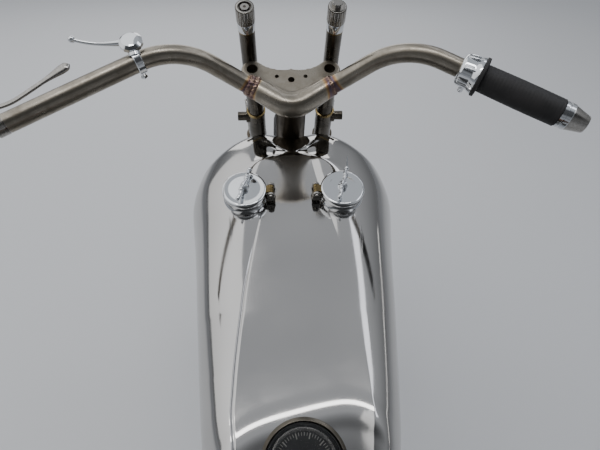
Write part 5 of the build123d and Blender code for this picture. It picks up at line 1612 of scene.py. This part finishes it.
def foot_rubbers():
    """Ribbed rubbers on both footrests and on the kick starter's pedal."""
    rest = ribbed(100, 16.9, 1.7, 10)
    rest[[1, -2], 1] = 14.0
    rests = [turned(rest, REST_START * (side, 1, 1) * MM, (side, 0, 0), 40) for side in (1, -1)]
    return gather(*rests), turned(ribbed(56, 11.5, 1.2, 8), PEDAL_START * MM, (-1, 0, 0), 32)


class MOTO_OT_fittings(bpy.types.Operator):
    """Make the frame's welds, the mudguard's edges, straps, exhaust trim, axle nuts and rubbers"""
    bl_idname = "moto.fittings"
    bl_label = "Fittings"

    def execute(self, context):
        piece("frame_welds", frame_welds(), "bareframe", "frame", sharp=80.0)
        piece("guard_edges", guard_edges(), "bareframe", "frame")
        straps, cap = oil_straps()
        piece("oil_tank_straps", straps, "turned", "frame", sharp=30.0)
        piece("oil_filler_cap", cap, "chrome", "frame", sharp=30.0)
        piece("exhaust_trim", exhaust_trim(), "chrome", "frame", sharp=30.0)
        rests, pedal = foot_rubbers()
        piece("footrest_ribs", rests, "grip", "frame", ["footrest_rubbers"], sharp=30.0)
        piece("pedal_rubber", pedal, "grip", "frame", sharp=30.0)
        for name, body, axle, out, flats in (("rear", "frame", REAR_AXLE, 146.0, 27.0),
                                             ("front", "fork", FRONT_AXLE, 62.5, 24.0)):
            nuts = [hexagon(flats, -1.0, 8.0, (axle + (side * out, 0, 0)) * MM, (side, 0, 0))
                    for side in (1, -1)]
            piece(f"{name}_axle_nuts", gather(*nuts), "turned", body, sharp=30.0)
        pivots, springs = [], []
        for side in (1, -1):
            for out, ahead, rise in ROCKER_PIVOTS:
                spot = at_fork(side * out, ahead, rise - AXLE_DROP)
                pivots.append(hexagon(19.0, -1.5, 7.0, spot, (side, 0, 0)))
            coil, wire, count, foot, length = POST_SPRING
            turns = np.linspace(0, 2 * np.pi * count, 480)
            path = at_fork(side * POST_AT[0] + coil * np.cos(turns), POST_AT[1] + coil * np.sin(turns),
                           foot + length * np.linspace(0, 1, len(turns)))
            springs.append(tube(path, wire, 8))
        piece("rocker_pivots", gather(*pivots), "turned", "fork", sharp=30.0)
        piece("fork_springs", gather(*springs), "turned", "fork")
        return {"FINISHED"}


# Stage

def look_camera(settings):
    """The rider's view: turned a little to the right and well down, with a slight roll."""
    pitch, heading, roll = settings.pitch, settings.heading, settings.roll
    ahead = np.array([-sin(heading), -cos(heading), 0.0])
    right = np.array([-cos(heading), sin(heading), 0.0])
    up = np.array([0.0, 0.0, 1.0])
    forward = cos(pitch) * ahead - sin(pitch) * up
    upright = sin(pitch) * ahead + cos(pitch) * up
    side = cos(roll) * right + sin(roll) * upright
    top = -sin(roll) * right + cos(roll) * upright
    matrix = Matrix.Identity(4)
    for number, column in enumerate((side, top, -forward)):
        for row in range(3):
            matrix[row][number] = column[row]
    for row, value in enumerate(settings.eye):
        matrix[row][3] = value
    return matrix


FLOOR_REACH = 30.0

# Softboxes: name, place, point aimed at, width and height in metres, brightness, colour
SOFTBOXES = (
    ("left_softbox", (2.3, -1.0, 3.2), (0.0, -0.9, 1.1), (6.0, 5.4), 0.85, "FFFFFF"),
    ("right_softbox", (-1.5, -0.9, 3.2), (0.0, -0.2, 0.8), (3.4, 0.55), 1.9, "F0F4FF"),
    ("right_strip", (-2.6, -0.6, 1.1), (0.0, -0.3, 0.8), (2.5, 0.12), 1.2, "FFFFFF"),
    ("front_softbox", (0.2, -4.0, 1.9), (0.0, -0.3, 0.8), (3.4, 1.8), 1.6, "FFFFFF"),
    ("top_softbox", (0.0, 0.06, 3.0), (0.0, 0.06, 0.8), (1.5, 0.3), 6.0, "FFFFFF"),
)


class MOTO_PG_stage(bpy.types.PropertyGroup):
    """The camera and the floor"""
    eye: bpy.props.FloatVectorProperty(name="Eye", description="Place of the camera",
                                       default=(0.018, 0.345, 1.307), size=3, subtype="TRANSLATION")
    pitch: bpy.props.FloatProperty(name="Pitch", description="Angle that the camera looks down",
                                   default=radians(41.2), subtype="ANGLE")
    heading: bpy.props.FloatProperty(name="Heading", description="Turn to the rider's right",
                                     default=radians(2.9), subtype="ANGLE")
    roll: bpy.props.FloatProperty(name="Roll", description="Tilt of the camera", default=radians(0.83),
                                  subtype="ANGLE")
    lens: bpy.props.FloatProperty(name="Lens", description="Focal length on a 36 mm sensor", default=28.8,
                                  min=10.0)
    floor: bpy.props.FloatVectorProperty(name="Floor", description="Colour of the studio floor", size=4,
                                         subtype="COLOR", default=linear("D6D7D9"))


def studio_floor(context, colour):
    """A wide painted floor."""
    finish = bpy.data.materials.new("painted studio floor")
    finish.use_nodes = True
    shader = finish.node_tree.nodes["Principled BSDF"]
    shader.inputs["Base Color"].default_value = colour
    shader.inputs["Roughness"].default_value = 0.7
    mesh = bpy.data.meshes.new("floor")
    corners = [(x * FLOOR_REACH, y * FLOOR_REACH, 0) for x, y in ((-1, -1), (1, -1), (1, 1), (-1, 1))]
    mesh.from_pydata(corners, [], [(0, 1, 2, 3)])
    mesh.materials.append(finish)
    floor = bpy.data.objects.new("floor", mesh)
    context.scene.collection.objects.link(floor)


def studio_sky():
    """A pale room that brightens upwards, with a dim patch high up behind the rider, which the
    tank's top mirrors."""
    world = bpy.data.worlds.new("studio")
    world.use_nodes = True
    sky = world.node_tree
    toward = add(sky, "ShaderNodeTexCoord").outputs["Generated"]
    rise = add(sky, "ShaderNodeSeparateXYZ", links={0: toward}).outputs
    lift, behind, above = (
        add(sky, "ShaderNodeMapRange", dict(zip(("From Min", "From Max", "To Min", "To Max"), reach)),
            {"Value": rise[axis]}).outputs["Result"]
        for axis, reach in (("Z", (0.1, 0.8, 0.3, 0.8)), ("Y", (0.28, 0.5)), ("Z", (0.2, 0.45))))
    both = add(sky, "ShaderNodeMath", {"operation": "MULTIPLY"}, {0: behind, 1: above}).outputs[0]
    dim = add(sky, "ShaderNodeMapRange", {"To Min": 1.0, "To Max": 0.15}, {"Value": both}).outputs["Result"]
    glow = add(sky, "ShaderNodeMath", {"operation": "MULTIPLY"}, {0: lift, 1: dim})
    shade = sky.nodes["Background"]
    shade.inputs["Color"].default_value = linear("D4D8DE")
    sky.links.new(glow.outputs[0], shade.inputs["Strength"])
    return world


def softbox(context, name, place, aim, size, glow, colour):
    """A rectangular lamp aimed at a point; its energy follows its area, so glow is its brightness."""
    light = bpy.data.lights.new(name, "AREA")
    light.shape = "RECTANGLE"
    light.size, light.size_y = size
    light.color = linear(colour)[:3]
    light.energy = glow * np.pi * size[0] * size[1]
    lamp = bpy.data.objects.new(name, light)
    lamp.location = place
    lamp.rotation_euler = (Vector(aim) - Vector(place)).to_track_quat("-Z", "Y").to_euler()
    context.scene.collection.objects.link(lamp)


class MOTO_OT_stage(bpy.types.Operator):
    """Set up the floor, the soft lights and the camera"""
    bl_idname = "moto.stage"
    bl_label = "Stage"

    def execute(self, context):
        settings = context.scene.moto_stage
        studio_floor(context, settings.floor)
        context.scene.world = studio_sky()
        for row in SOFTBOXES:
            softbox(context, *row)
        view = bpy.data.cameras.new("rider_view")
        view.sensor_width = 36.0
        view.sensor_fit = "HORIZONTAL"
        view.lens = settings.lens
        view.clip_start = 0.02
        camera = bpy.data.objects.new("rider_view", view)
        camera.matrix_world = look_camera(settings)
        context.scene.collection.objects.link(camera)
        context.scene.camera = camera
        return {"FINISHED"}


STEPS = ("finishes", "tank", "fork", "bar", "caps", "dial", "wheels", "saddle", "engine", "fittings", "stage")


class MOTO_PT_panel(bpy.types.Panel):
    """Steps that dress the motorcycle"""
    bl_idname = "MOTO_PT_panel"
    bl_label = "Motorcycle"
    bl_space_type = "VIEW_3D"
    bl_region_type = "UI"
    bl_category = "Motorcycle"

    def draw(self, context):
        for group, kind in ((context.scene.moto_machine, MOTO_PG_machine),
                            (context.scene.moto_stage, MOTO_PG_stage)):
            for setting in kind.__annotations__:
                self.layout.prop(group, setting)
        for step in STEPS:
            self.layout.operator(f"moto.{step}")


CLASSES = (MOTO_PG_machine, MOTO_PG_stage, MOTO_OT_finishes, MOTO_OT_tank, MOTO_OT_fork, MOTO_OT_bar,
           MOTO_OT_caps, MOTO_OT_dial, MOTO_OT_wheels, MOTO_OT_saddle, MOTO_OT_engine, MOTO_OT_fittings,
           MOTO_OT_stage, MOTO_PT_panel)


def register():
    """Register the classes and their settings."""
    for each in CLASSES:
        bpy.utils.register_class(each)
    bpy.types.Scene.moto_machine = bpy.props.PointerProperty(type=MOTO_PG_machine)
    bpy.types.Scene.moto_stage = bpy.props.PointerProperty(type=MOTO_PG_stage)


def unregister():
    """Take the settings and classes out again."""
    del bpy.types.Scene.moto_stage
    del bpy.types.Scene.moto_machine
    for each in reversed(CLASSES):
        bpy.utils.unregister_class(each)


def main():
    """Dress the frame step by step."""
    register()
    for step in STEPS:
        getattr(bpy.ops.moto, step)()


if __name__ == "__main__":
    main()
